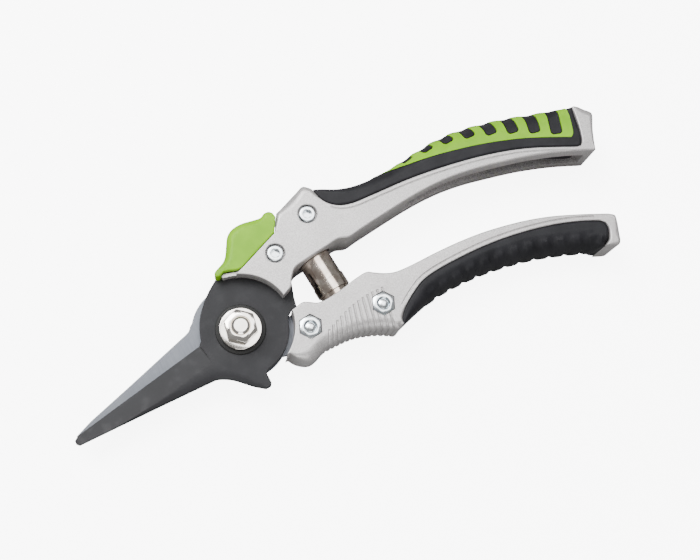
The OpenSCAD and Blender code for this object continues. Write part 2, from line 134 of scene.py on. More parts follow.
def arc(radius: float, start: float, end: float, steps: int = 48) -> list[Point]:
    """Returns the points of an arc about the pivot, from one angle to another in degrees."""
    angles = [math.radians(start + (end - start) * k / steps) for k in range(steps + 1)]
    return [(radius * math.cos(a), radius * math.sin(a)) for a in angles]


def quarter(steps: int, start: float = 0.0) -> list[float]:
    """Returns the angles, in radians, that divide a quarter turn from a start in degrees, ends included."""
    return [math.radians(start + 90 * k / steps) for k in range(steps + 1)]


def turned(point: Point, degrees: float) -> Point:
    """Returns a point turned about the origin."""
    c, s = math.cos(math.radians(degrees)), math.sin(math.radians(degrees))
    return (point[0] * c - point[1] * s, point[0] * s + point[1] * c)


def uv(u: float, n: float) -> Point:
    """Returns the point that lies u along the catch's slide and n across it."""
    return turned((u, n), CATCH_TURN)


def uvs(points: Sequence[Point]) -> list[Point]:
    """Returns the points that are given along and across the catch's slide."""
    return [uv(*p) for p in points]


def level(curve: Sequence[Point], x: "float | np.ndarray") -> "float | np.ndarray":
    """Returns the Y of a curve at places along X."""
    return np.interp(x, [p[0] for p in curve], [p[1] for p in curve])


def ux(share: float) -> float:
    """Returns the X of a place along the upper handle, as a share of its length behind the head."""
    return HEAD_X + share * UPPER_LENGTH


def lx(share: float) -> float:
    """Returns the X of a place along the lower handle, as a share of its length behind the head."""
    return LOWER_HEAD_X + share * LOWER_LENGTH


@dataclass
class Outline:
    """A closed outline with, at each point, how far the edge there is rounded inwards."""

    points: list[Point] = field(default_factory=list)
    rounds: list[float] = field(default_factory=list)

    def run(self, points: Sequence[Point], *rounds: float) -> "Outline":
        """Adds a stretch of points.

        Args:
            points: the stretch, in order.
            rounds: the rounding along it, spread evenly over its length.

        Returns:
            This outline, so that stretches can be chained.
        """
        xy = np.array(points, float)
        along = np.concatenate([[0], np.cumsum(np.linalg.norm(np.diff(xy, axis=0), axis=1))])
        share = along / max(along[-1], 1e-9)
        widths = np.interp(share, np.linspace(0, 1, len(rounds)), rounds)
        self.points += [tuple(q) for q in points]
        self.rounds += [float(w) for w in widths]
        return self

    def even(self, spacing: float) -> tuple[np.ndarray, np.ndarray]:
        """Divides the long spans and drops the doubled points.

        Args:
            spacing: the longest span left.

        Returns:
            The points, anticlockwise, and the rounding at each.
        """
        xy, w = np.array(self.points, float), np.array(self.rounds, float)
        keep = np.linalg.norm(xy - np.roll(xy, 1, axis=0), axis=1) > 0.02
        xy, w = xy[keep], w[keep]
        rows: list[tuple[float, float, float]] = []
        for i in range(len(xy)):
            j = (i + 1) % len(xy)
            parts = max(1, math.ceil(float(np.linalg.norm(xy[j] - xy[i])) / spacing))
            for k in range(parts):
                t = k / parts
                rows.append((*(xy[i] + (xy[j] - xy[i]) * t), w[i] + (w[j] - w[i]) * t))
        table = np.array(rows)
        area = np.sum(table[:, 0] * np.roll(table[:, 1], -1) - np.roll(table[:, 0], -1) * table[:, 1])
        table = table if area > 0 else table[::-1]
        return table[:, :2].copy(), table[:, 2].copy()


def inward(xy: np.ndarray) -> tuple[np.ndarray, np.ndarray]:
    """Returns the inward normals of an anticlockwise outline, longer at its corners, and its tangents."""
    before, after = xy - np.roll(xy, 1, axis=0), np.roll(xy, -1, axis=0) - xy
    before /= np.linalg.norm(before, axis=1, keepdims=True) + 1e-12
    after /= np.linalg.norm(after, axis=1, keepdims=True) + 1e-12
    tangent = before + after
    tangent /= np.linalg.norm(tangent, axis=1, keepdims=True) + 1e-12
    cosine = np.clip(np.sum(tangent * after, axis=1), 0.62, 1.0)
    normal = np.stack([-tangent[:, 1], tangent[:, 0]], axis=1)
    return normal / cosine[:, None], tangent


def fitting(xy: np.ndarray, widths: np.ndarray) -> np.ndarray:
    """Narrows the rounding where two sides of an outline are close together, so that they don't meet."""
    ahead, most, passes = 0.75, 0.86, 12
    normal, _ = inward(xy)
    gap = xy[None] - xy[:, None]
    apart = np.linalg.norm(gap, axis=2) + 1e-9
    facing = np.einsum("ijk,ik->ij", gap, normal) / apart
    apart = np.where(facing > ahead, apart, np.inf)
    other = apart.argmin(axis=1)
    room = apart[np.arange(len(xy)), other]
    narrow = np.minimum(widths, most * room * widths / (widths + widths[other] + 1e-9))
    for _ in range(passes):
        narrow = np.minimum(narrow, (np.roll(narrow, 1) + narrow + np.roll(narrow, -1)) / 3)
    return narrow


def uncrossed(xy: np.ndarray) -> np.ndarray:
    """Draws each small loop, where an outline crosses itself, together to the point of the crossing."""
    ring = xy.copy()
    count = len(ring)
    near = np.arange(2, 26)
    start = 0
    while start < count:
        ahead = (start + near) % count
        a, b = ring[start], ring[(start + 1) % count]
        c, d = ring[ahead], ring[(ahead + 1) % count]
        first, second = b - a, d - c
        cross = first[0] * second[:, 1] - first[1] * second[:, 0]
        cross = np.where(np.abs(cross) < 1e-12, 1e-12, cross)
        t = ((c[:, 0] - a[0]) * second[:, 1] - (c[:, 1] - a[1]) * second[:, 0]) / cross
        s = ((c[:, 0] - a[0]) * first[1] - (c[:, 1] - a[1]) * first[0]) / cross
        hits = np.nonzero((t > 1e-9) & (t < 1 - 1e-9) & (s > 1e-9) & (s < 1 - 1e-9))[0]
        if len(hits):
            last = hits[-1]
            ring[(start + np.arange(1, near[last] + 1)) % count] = a + first * t[last]
        start += 1
    return ring


def inset_stages(xy: np.ndarray, widths: np.ndarray, stages: Sequence[float]) -> list[np.ndarray]:
    """Moves an outline inwards little by little, keeping its points apart, so that it never crosses itself.

    Args:
        xy: the outline's points, anticlockwise.
        widths: how far each point goes in all.
        stages: the shares of the way, rising, at which the outline is wanted.

    Returns:
        The outline at each stage.
    """
    step, slide, relax = 0.1, 0.3, 0.12
    out: list[np.ndarray] = []
    now, done = xy.copy(), 0.0
    for stage in stages:
        moves = max(1, math.ceil((stage - done) * float(widths.max()) / step)) if stage > done else 0
        for _ in range(moves):
            normal, tangent = inward(now)
            go = widths[:, None] * (stage - done) / moves
            now = now + normal * go
            bend = (np.roll(now, 1, axis=0) + np.roll(now, -1, axis=0)) / 2 - now
            ease = np.clip(widths / 2.0, 0, 1)[:, None]
            along = tangent * np.sum(bend * tangent, axis=1, keepdims=True)
            now = now + ease * (slide * along + relax * bend)
        done = max(done, stage)
        out.append(uncrossed(now))
    return out


# ---------------------------------------------------------------- meshes

def new_piece(name: str, bm: bmesh.types.BMesh, sharp: float = 32.0) -> bpy.types.Object:
    """Makes a bmesh an object in the scene, smooth but for its sharp edges, and frees the bmesh.

    Args:
        name: the object's name.
        bm: the shape, in millimetres.
        sharp: the angle in degrees past which an edge stays sharp.

    Returns:
        The object, at the origin and in metres.
    """
    bmesh.ops.scale(bm, vec=(MM, MM, MM), verts=bm.verts)
    mesh = bpy.data.meshes.new(name)
    bm.to_mesh(mesh)
    bm.free()
    piece = bpy.data.objects.new(name, mesh)
    bpy.context.scene.collection.objects.link(piece)
    shade(piece, sharp)
    return piece


def shade(piece: bpy.types.Object, sharp: float = 32.0) -> None:
    """Shades a piece smooth, with every edge past the angle sharp."""
    piece.data.shade_smooth()
    piece.data.set_sharp_from_angle(angle=math.radians(sharp))


def stack(name: str, rings: Sequence[np.ndarray]) -> bpy.types.Object:
    """Extrudes a capped solid through rings of points.

    Args:
        name: the object's name.
        rings: the rings from bottom to top, each with one row of X, Y, Z for every point.

    Returns:
        The solid as an object.
    """
    bm = bmesh.new()
    count = len(rings[0])
    levels = [[bm.verts.new((i, 0, 0)) for i in range(count)]]
    edges = [bm.edges.new((levels[0][i], levels[0][(i + 1) % count])) for i in range(count)]
    bm.faces.new(list(reversed(levels[0])))
    for _ in rings[1:]:
        made = bmesh.ops.extrude_edge_only(bm, edges=edges)["geom"]
        fresh = {round(v.co.x): v for v in made if isinstance(v, bmesh.types.BMVert)}
        levels.append([fresh[i] for i in range(count)])
        rims = (e for e in made if isinstance(e, bmesh.types.BMEdge))
        edges = [e for e in rims if all(v in fresh.values() for v in e.verts)]
    bm.faces.new(levels[-1])
    for level, ring in zip(levels, rings):
        for v, p in zip(level, ring):
            v.co = p
    bmesh.ops.remove_doubles(bm, verts=bm.verts, dist=0.0001)
    bmesh.ops.dissolve_degenerate(bm, edges=bm.edges, dist=0.0001)
    bmesh.ops.recalc_face_normals(bm, faces=bm.faces)
    return new_piece(name, bm)


@dataclass
class Slab:
    """A solid of one outline, with rounded top and bottom edges.

    Attributes:
        outline: the outline, with its rounding.
        low: the height of its bottom.
        high: the height of its top.
        tall: the rounding's height for each millimetre of its width.
        spacing: the longest span along the outline.
        arcs: how many faces the rounding has.
        grow: how far every surface is moved outwards.
        relief: gives the height of a pattern on the surface, for the points of a ring.
        walls: how many bands of faces each half of the upright side has.
        wide: the rounding's width from which it gets fuller.
        fuller: how much higher the widest rounding is, as a share.
    """

    outline: Outline
    low: float = 0.0
    high: float = THICK
    tall: float = 1.0
    spacing: float = 1.2
    arcs: int = 6
    grow: float = 0.0
    relief: Relief | None = None
    walls: int = 1
    wide: float = 4.0
    fuller: float = 0.45

    def rings(self) -> list[np.ndarray]:
        """Returns the rings of points that make the solid, from bottom to top."""
        xy, widths = self.outline.even(self.spacing)
        if self.grow:
            xy = xy - inward(xy)[0] * self.grow
            widths = np.where(widths > 1, widths + self.grow, widths)
        widths = fitting(xy, widths)
        middle = (self.low + self.high) / 2
        half = (self.high - self.low) / 2 + self.grow
        turns = quarter(self.arcs)
        shares = [1 - math.cos(a) for a in turns]
        flat = inset_stages(xy, widths, shares)
        rims = uncrossed(flat[-1] + inward(flat[-1])[0] * 0.12)
        steep = self.tall * (1 + self.fuller * np.clip((widths - self.wide) / 2, 0, 1))
        heights = np.minimum(widths * steep, half - 0.02)
        upper: list[np.ndarray] = []
        for a, ring in zip(turns, flat):
            z = half - heights + heights * math.sin(a)
            if self.relief is not None:
                out = -inward(ring)[0]
                out /= np.linalg.norm(out, axis=1, keepdims=True) + 1e-12
                lift = self.relief(ring)
                ring = ring + out * (lift * math.cos(a))[:, None]
                z = z + lift * math.sin(a)
            upper.append(np.column_stack([ring, z]))
        upper.append(np.column_stack([rims, np.full(len(rims), half)]))
        first = upper[0].copy()
        walls = [first * (1, 1, 1 - k / self.walls) for k in range(self.walls, 0, -1)]
        above = [*walls, *upper]
        below = [r * (1, 1, -1) for r in reversed([*walls[1:], *upper])]
        return [r + (0, 0, middle) for r in [*below, *above]]

    def build(self, name: str) -> bpy.types.Object:
        """Makes the solid as an object."""
        return stack(name, self.rings())


def prism(points: Sequence[Point], low: float, high: float) -> bpy.types.Object:
    """Makes a cutter that is a straight solid of an outline between two heights."""
    xy, _ = Outline().run(points, 0.0).even(math.inf)
    return stack("cutter", [np.column_stack([xy, np.full(len(xy), z)]) for z in (low, high)])


def lathe(
    profile: Sequence[Point], at: Point = (0.0, 0.0), name: str = "cutter", sides: int = 64,
    place: Matrix | None = None,
) -> bpy.types.Object:
    """Spins a profile about an upright axis.

    Args:
        profile: points of radius and height, from the bottom of the axis to its top.
        at: where the axis stands.
        name: the object's name.
        sides: how many faces go round.
        place: a turn and move that the whole shape gets, in millimetres, in place of at.

    Returns:
        The turned solid as an object.
    """
    bm = bmesh.new()
    line = [bm.verts.new((r, 0, z)) for r, z in profile]
    edges = [bm.edges.new(pair) for pair in zip(line, line[1:])]
    bmesh.ops.spin(
        bm, geom=[*line, *edges], axis=(0, 0, 1), cent=(0, 0, 0), angle=math.tau, steps=sides, use_merge=True
    )
    bmesh.ops.remove_doubles(bm, verts=bm.verts, dist=0.0005)
    bmesh.ops.recalc_face_normals(bm, faces=bm.faces)
    bmesh.ops.transform(bm, matrix=place or Matrix.Translation((*at, 0)), verts=bm.verts)
    return new_piece(name, bm)


def bore(at: Point, radius: float, low: float, high: float, flare: float = 0.0) -> bpy.types.Object:
    """Makes the cutter of a round hole, with a flare at its upper end where that is open."""
    mouth = [(radius, high - 2 * flare), (radius + 3 * flare, high + flare)] if flare else [(radius, high)]
    return lathe([(0, low), (radius, low), *mouth, (0, high + flare)], at)


def hexagon(
    at: Point, flats: float, low: float, high: float, turn: float = 7.0, name: str = "cutter"
) -> bpy.types.Object:
    """Makes a six-sided prism of a width across its flats."""
    bm = bmesh.new()
    place = Matrix.Translation((*at, (low + high) / 2)) @ Matrix.Rotation(math.radians(turn + 30), 4, "Z")
    radius = flats / 2 / math.cos(math.pi / 6)
    bmesh.ops.create_cone(
        bm, cap_ends=True, segments=6, radius1=radius, radius2=radius, depth=high - low, matrix=place
    )
    return new_piece(name, bm)


def tube(path: Sequence[Sequence[float]], radius: float, sides: int = 10) -> bpy.types.Object:
    """Makes a cutter that is a round bar with closed ends along a path."""
    points = [Vector(p) for p in path]
    rings: list[np.ndarray] = []
    side = None
    for i, p in enumerate(points):
        way = (points[min(i + 1, len(points) - 1)] - points[max(i - 1, 0)]).normalized()
        if side is None:
            side = way.orthogonal().normalized()
        side = (side - way * side.dot(way)).normalized()
        other = way.cross(side)
        turns = [math.tau * k / sides for k in range(sides)]
        wide, high = side * radius, other * radius
        rings.append(np.array([tuple(p + wide * math.cos(a) + high * math.sin(a)) for a in turns]))
    return stack("cutter", rings)


def settle(piece: bpy.types.Object) -> bpy.types.Object:
    """Applies a piece's modifiers to its mesh."""
    ready = piece.evaluated_get(bpy.context.evaluated_depsgraph_get())
    mesh = bpy.data.meshes.new_from_object(ready)
    old = piece.data
    piece.modifiers.clear()
    piece.data = mesh
    bpy.data.meshes.remove(old)
    return piece


def carve(piece: bpy.types.Object, *cutters: bpy.types.Object, cut: Cut = Cut.REMOVE) -> bpy.types.Object:
    """Cuts a piece with solids, which are used up.

    Args:
        piece: what is cut.
        cutters: the solids that cut it.
        cut: whether what lies in the solids is removed or kept.

    Returns:
        The piece, with its mesh changed.
    """
    for cutter in cutters:
        change = piece.modifiers.new("carve", "BOOLEAN")
        change.operation = cut.value
        change.object = cutter
        change.solver = "MANIFOLD"
    settle(piece)
    for cutter in cutters:
        mesh = cutter.data
        bpy.data.objects.remove(cutter)
        bpy.data.meshes.remove(mesh)
    shade(piece)
    return piece


def joined(name: str, parts: Sequence[bpy.types.Object]) -> bpy.types.Object:
    """Joins objects into one, which gets the name."""
    bm = bmesh.new()
    for part in parts:
        bm.from_mesh(part.data)
        mesh = part.data
        bpy.data.objects.remove(part)
        bpy.data.meshes.remove(mesh)
    bmesh.ops.scale(bm, vec=(1 / MM, 1 / MM, 1 / MM), verts=bm.verts)
    return new_piece(name, bm)


def twin(piece: bpy.types.Object, name: str) -> bpy.types.Object:
    """Copies an object and its mesh."""
    copy = piece.copy()
    copy.data = piece.data.copy()
    copy.name = name
    bpy.context.scene.collection.objects.link(copy)
    return copy


# ---------------------------------------------------------------- shaders

class Value:
    """A shader value that Python expressions can be written with."""

    def __init__(self, shader: "Shader", socket: bpy.types.NodeSocket) -> None:
        """Wraps a socket of a shader."""
        self.shader = shader
        self.socket = socket

    def math(self, operation: str, *values: "Value | float") -> "Value":
        """Returns a Math node's result on values, in their order."""
        return self.shader.add("ShaderNodeMath", {"operation": operation}, dict(enumerate(values)))

    def __add__(self, other: "Value | float") -> "Value":
        """Returns the sum."""
        return self.math("ADD", self, other)

    def __radd__(self, other: float) -> "Value":
        """Returns the sum."""
        return self.math("ADD", other, self)

    def __sub__(self, other: "Value | float") -> "Value":
        """Returns the difference."""
        return self.math("SUBTRACT", self, other)

    def __rsub__(self, other: float) -> "Value":
        """Returns a number less this value."""
        return self.math("SUBTRACT", other, self)

    def __mul__(self, other: "Value | float") -> "Value":
        """Returns the product."""
        return self.math("MULTIPLY", self, other)

    def __rmul__(self, other: float) -> "Value":
        """Returns the product."""
        return self.math("MULTIPLY", other, self)

    def __truediv__(self, other: "Value | float") -> "Value":
        """Returns the quotient."""
        return self.math("DIVIDE", self, other)

    def above(self, low: float, high: float) -> "Value":
        """Returns 0 below low and 1 above high, and rises smoothly between them."""
        inputs = {"Value": self, "From Min": low, "From Max": high}
        return self.shader.add("ShaderNodeMapRange", {"interpolation_type": "SMOOTHSTEP"}, inputs)


class Shader:
    """Builds one material's nodes around a Principled shader."""

    def __init__(self, name: str, **constants: float) -> None:
        """Starts a material.

        Args:
            name: the material's name.
            constants: values of the shader's sockets, with underscores for the spaces of their names.
        """
        self.material = bpy.data.materials.new(name)
        self.material.use_nodes = True
        self.tree = self.material.node_tree
        self.surface = next(n for n in self.tree.nodes if n.type == "BSDF_PRINCIPLED")
        for key, constant in constants.items():
            self.surface.inputs[key.replace("_", " ")].default_value = constant
        self.place = self.add("ShaderNodeTexCoord", output="Object")

    def add(
        self, kind: str, settings: dict | None = None, inputs: dict | None = None, output: str | int = 0
    ) -> Value:
        """Adds a node.

        Args:
            kind: the node's type.
            settings: its properties, and the stops of a ramp under "stops".
            inputs: what goes into its sockets, by name or number.
            output: the socket that is wanted.

        Returns:
            That socket, as a value.
        """
        node = self.tree.nodes.new(kind)
        for key, setting in (settings or {}).items():
            if key == "stops":
                ramp = node.color_ramp
                while len(ramp.elements) < len(setting):
                    ramp.elements.new(0.5)
                for element, (position, colour) in zip(ramp.elements, setting):
                    element.position, element.color = position, (*colour, 1)
            else:
                setattr(node, key, setting)
        for key, given in (inputs or {}).items():
            if isinstance(given, Value):
                self.tree.links.new(given.socket, node.inputs[key])
            else:
                node.inputs[key].default_value = given
        return Value(self, node.outputs[output])

    def noise(self, size: float, detail: float = 2.0, stretch: Sequence[float] = (1, 1, 1)) -> Value:
        """Returns noise with features of a size in millimetres, drawn out along an axis if asked."""
        place = {0: self.place, 1: tuple(stretch)}
        scaled = self.add("ShaderNodeVectorMath", {"operation": "MULTIPLY"}, place)
        inputs = {"Vector": scaled, "Scale": 1 / (size * MM), "Detail": detail}
        return self.add("ShaderNodeTexNoise", {}, inputs, "Fac")

    def pits(self, size: float) -> Value:
        """Returns the distance to the nearest of many scattered points, about a size in millimetres apart."""
        inputs = {"Vector": self.place, "Scale": 1 / (size * MM)}
        return self.add("ShaderNodeTexVoronoi", {}, inputs, "Distance")

    def mix(self, factor: Value, dark: "Value | Sequence[float]", light: "Value | Sequence[float]") -> Value:
        """Returns a colour between two, by a factor."""
        inputs = {0: factor}
        inputs |= {key: c if isinstance(c, Value) else (*c, 1) for key, c in ((6, dark), (7, light))}
        return self.add("ShaderNodeMix", {"data_type": "RGBA"}, inputs, 2)

    def bumps(self, relief: Value, depth: float, strength: float = 1.0) -> None:
        """Gives the surface a relief with a depth in millimetres."""
        inputs = {"Height": relief, "Distance": depth * MM, "Strength": strength}
        self.feed("Normal", self.add("ShaderNodeBump", {}, inputs, "Normal"))

    def feed(self, socket: str, value: Value) -> None:
        """Links a value to one of the surface's sockets."""
        self.tree.links.new(value.socket, self.surface.inputs[socket])


@dataclass(frozen=True)
class CastAlloy:
    """Bead-blasted cast aluminium."""

    name: str = "cast_alloy"
    dark: tuple[float, float, float] = (0.40, 0.385, 0.38)
    light: tuple[float, float, float] = (0.62, 0.605, 0.60)
    metallic: float = 0.55
    roughness: float = 0.42
    grain: float = 0.32

    def make(self) -> bpy.types.Material:
        """Builds the material."""
        s = Shader(self.name, Metallic=self.metallic)
        fine, broad, pits = s.noise(self.grain, 2.0), s.noise(9.0, 3.0), s.pits(self.grain * 1.6)
        s.feed("Base Color", s.mix((fine * 0.8 + broad * 0.2).above(0.36, 0.64), self.dark, self.light))
        s.feed("Roughness", self.roughness + (fine - 0.5) * 0.16 + (broad - 0.5) * 0.08)
        s.bumps(fine * 0.7 + pits * 0.6, 0.045, 0.7)
        return s.material


@dataclass(frozen=True)
class MouldedPlastic:
    """Injection-moulded plastic with a fine spark-eroded texture."""

    name: str
    dark: tuple[float, float, float]
    light: tuple[float, float, float]
    roughness: float = 0.42

    def make(self) -> bpy.types.Material:
        """Builds the material."""
        s = Shader(self.name, IOR=1.5, Specular_IOR_Level=0.18)
        broad, fine = s.noise(7.0, 3.0), s.noise(0.35, 2.0)
        s.feed("Base Color", s.mix(broad.above(0.3, 0.7), self.dark, self.light))
        s.feed("Roughness", self.roughness + (fine - 0.5) * 0.14 + (broad - 0.5) * 0.08)
        s.bumps(fine, 0.012, 0.5)
        return s.material


@dataclass(frozen=True)
class Rubber:
    """Matt moulded rubber, with a faint uneven bloom."""

    name: str = "black_rubber"
    dark: tuple[float, float, float] = (0.008, 0.008, 0.010)
    light: tuple[float, float, float] = (0.018, 0.018, 0.021)
    roughness: float = 0.55

    def make(self) -> bpy.types.Material:
        """Builds the material."""
        s = Shader(self.name, IOR=1.5, Specular_IOR_Level=0.22)
        broad, fine = s.noise(6.0, 3.0), s.noise(0.3, 2.0)
        s.feed("Base Color", s.mix((broad * 0.7 + fine * 0.3).above(0.3, 0.7), self.dark, self.light))
        s.feed("Roughness", self.roughness + (fine - 0.5) * 0.16 + (broad - 0.5) * 0.1)
        s.bumps(fine + s.pits(0.5) * 0.5, 0.02, 0.5)
        return s.material


@dataclass(frozen=True)
class CoatedSteel:
    """Steel under a dark non-stick coating, rubbed a little in patches."""

    name: str = "coated_steel"
    dark: tuple[float, float, float] = (0.023, 0.023, 0.025)
    light: tuple[float, float, float] = (0.031, 0.031, 0.034)
    roughness: float = 0.50

    def make(self) -> bpy.types.Material:
        """Builds the material."""
        s = Shader(self.name, IOR=1.5, Specular_IOR_Level=0.14)
        fine, broad = s.noise(0.25, 2.0), s.noise(8.0, 3.0)
        rubbed = s.noise(4.0, 3.0).above(0.545, 0.645)
        s.feed("Base Color", s.mix((broad * 0.6 + fine * 0.4).above(0.3, 0.7), self.dark, self.light))
        s.feed("Roughness", self.roughness - rubbed * 0.06 + (fine - 0.5) * 0.12)
        s.bumps(fine, 0.012, 0.5)
        return s.material


@dataclass(frozen=True)
class GroundSteel:
    """Ground steel, with the grinding marks along one direction."""

    name: str = "blade_steel"
    dark: tuple[float, float, float] = (0.125, 0.135, 0.155)
    light: tuple[float, float, float] = (0.165, 0.175, 0.195)
    roughness: float = 0.45
    stretch: tuple[float, float, float] = (1.0, 0.08, 1.0)

    def make(self) -> bpy.types.Material:
        """Builds the material."""
        s = Shader(self.name, Metallic=0.5, Specular_IOR_Level=0.3)
        marks, broad = s.noise(0.35, 3.0, self.stretch), s.noise(9.0, 3.0)
        s.feed("Base Color", s.mix((marks * 0.5 + broad * 0.5).above(0.3, 0.7), self.dark, self.light))
        s.feed("Roughness", self.roughness + (marks - 0.5) * 0.14 + (broad - 0.5) * 0.1)
        s.bumps(marks, 0.006, 0.5)
        return s.material


@dataclass(frozen=True)
class Plating:
    """Bright plated steel, with faint polishing marks and a little haze."""

    name: str
    dark: tuple[float, float, float]
    light: tuple[float, float, float]
    roughness: float = 0.14
    stretch: tuple[float, float, float] = (1.0, 1.0, 1.0)

    def make(self) -> bpy.types.Material:
        """Builds the material."""
        s = Shader(self.name, Metallic=1.0)
        fine, haze = s.noise(0.4, 3.0, self.stretch), s.noise(3.0, 3.0)
        s.feed("Base Color", s.mix(haze.above(0.3, 0.7), self.dark, self.light))
        s.feed("Roughness", self.roughness + (fine - 0.5) * 0.08 + haze.above(0.5, 0.8) * 0.08)
        s.bumps(fine, 0.004, 0.5)
        return s.material


class Finishes:
    """All the object's materials, each made once and kept under the slot that it stands for."""

    def __init__(self) -> None:
        """Makes the materials."""
        # The cast alloy's second material is painted shade: a near-black copy of the alloy for the walls of
        # counterbores, nut pockets and thin grooves.
        recess = CastAlloy("cast_painted_shade", (0.02, 0.02, 0.022), (0.045, 0.045, 0.05), 0.3, 0.55)
        green = MouldedPlastic("green_plastic", (0.19, 0.45, 0.005), (0.24, 0.53, 0.009))
        black = MouldedPlastic("black_plastic", (0.006, 0.006, 0.006), (0.012, 0.012, 0.012))
        zinc = Plating("zinc_plate", (0.70, 0.76, 0.80), (0.84, 0.88, 0.90), 0.2)
        nickel = Plating("nickel_plate", (0.74, 0.70, 0.65), (0.86, 0.82, 0.77), 0.1)
        strip = Plating("spring_steel", (0.55, 0.46, 0.39), (0.80, 0.72, 0.64), 0.16, (1, 0.1, 1))
        kinds = {
            Slot.CAST_ALLOY: (CastAlloy(), recess),
            Slot.COATED_STEEL: (CoatedSteel(),),
            Slot.BLADE_STEEL: (GroundSteel(),),
            Slot.ZINC_PLATE: (zinc,),
            Slot.NICKEL_PLATE: (nickel,),
            Slot.SPRING_STEEL: (strip,),
            Slot.BLACK_RUBBER: (Rubber(),),
            Slot.BLACK_PLASTIC: (black,),
            Slot.GREEN_PLASTIC: (green,),
        }
        self.materials = {slot: [finish.make() for finish in finishes] for slot, finishes in kinds.items()}

    def dress(self, piece: bpy.types.Object, slot: Slot) -> None:
        """Gives a piece the materials of a slot, in the order of its faces' numbers."""
        piece.data.materials.clear()
        for material in self.materials[slot]:
            piece.data.materials.append(material)

    def place(self, piece: bpy.types.Object, body: Body, slot: Slot, node: str) -> None:
        """Dresses a finished piece and hands it to the frame.

        Args:
            piece: the finished piece.
            body: what it moves with.
            slot: the material slot that its finish stands for.
            node: the model's node that it stands for.
        """
        self.dress(piece, slot)
        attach(piece, body.value)
        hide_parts(node)
        log.info("%s: %d faces, on %s", piece.name, len(piece.data.polygons), body.value)


# ---------------------------------------------------------------- the handles

def paint_recess_shade(piece: bpy.types.Object, spots: Sequence[tuple[Point, float, float]]) -> None:
    """Gives the faces inside recesses the piece's second material, a dark painted shade.

    Args:
        piece: the piece.
        spots: each recess's middle, radius and depth, less than 0 where it opens on the far face.
    """
    for polygon in piece.data.polygons:
        centre = polygon.center / MM
        for at, radius, depth in spots:
            inside = math.dist(at, (centre.x, centre.y)) < radius
            deep = THICK - depth < centre.z < THICK - 0.05 if depth > 0 else 0.05 < centre.z < -depth
            if inside and deep:
                polygon.material_index = 1


def paint_groove_shade(piece: bpy.types.Object, path: Sequence[Point], reach: float = 0.45) -> None:
    """Gives the faces down in a thin groove along a path the piece's second material, a dark painted shade
    that draws the groove's line.
    """
    line = np.array(path)
    for polygon in piece.data.polygons:
        centre = polygon.center / MM
        sunk = min(THICK - centre.z, centre.z)
        if 0.04 < sunk < 0.5 and np.min(np.hypot(line[:, 0] - centre.x, line[:, 1] - centre.y)) < reach:
            polygon.material_index = 1


def groove_cutter(path: Sequence[Point]) -> bpy.types.Object:
    """Makes the cutter of a thin groove along a path, on both faces of a casting."""
    return joined("cutter", [tube([(*p, z) for p in path], 0.34, 8) for z in (THICK + 0.02, -0.02)])


def pocket_cutter() -> bpy.types.Object:
    """Makes the cutter of the spring's pockets, which runs between the handles."""
    low, high = -0.5, SPRING_LENGTH + 0.5
    return lathe([(0, low), (SPRING_POCKET, low), (SPRING_POCKET, high), (0, high)], place=along_spring())


def along_spring() -> Matrix:
    """Returns the turn and move that stand a shape on the spring's seat, along the spring."""
    lean, lie = Matrix.Rotation(math.radians(SPRING_LEAN), 4, "Z"), Matrix.Rotation(-math.pi / 2, 4, "X")
    return Matrix.Translation((*SPRING_SEAT, MID)) @ lean @ lie


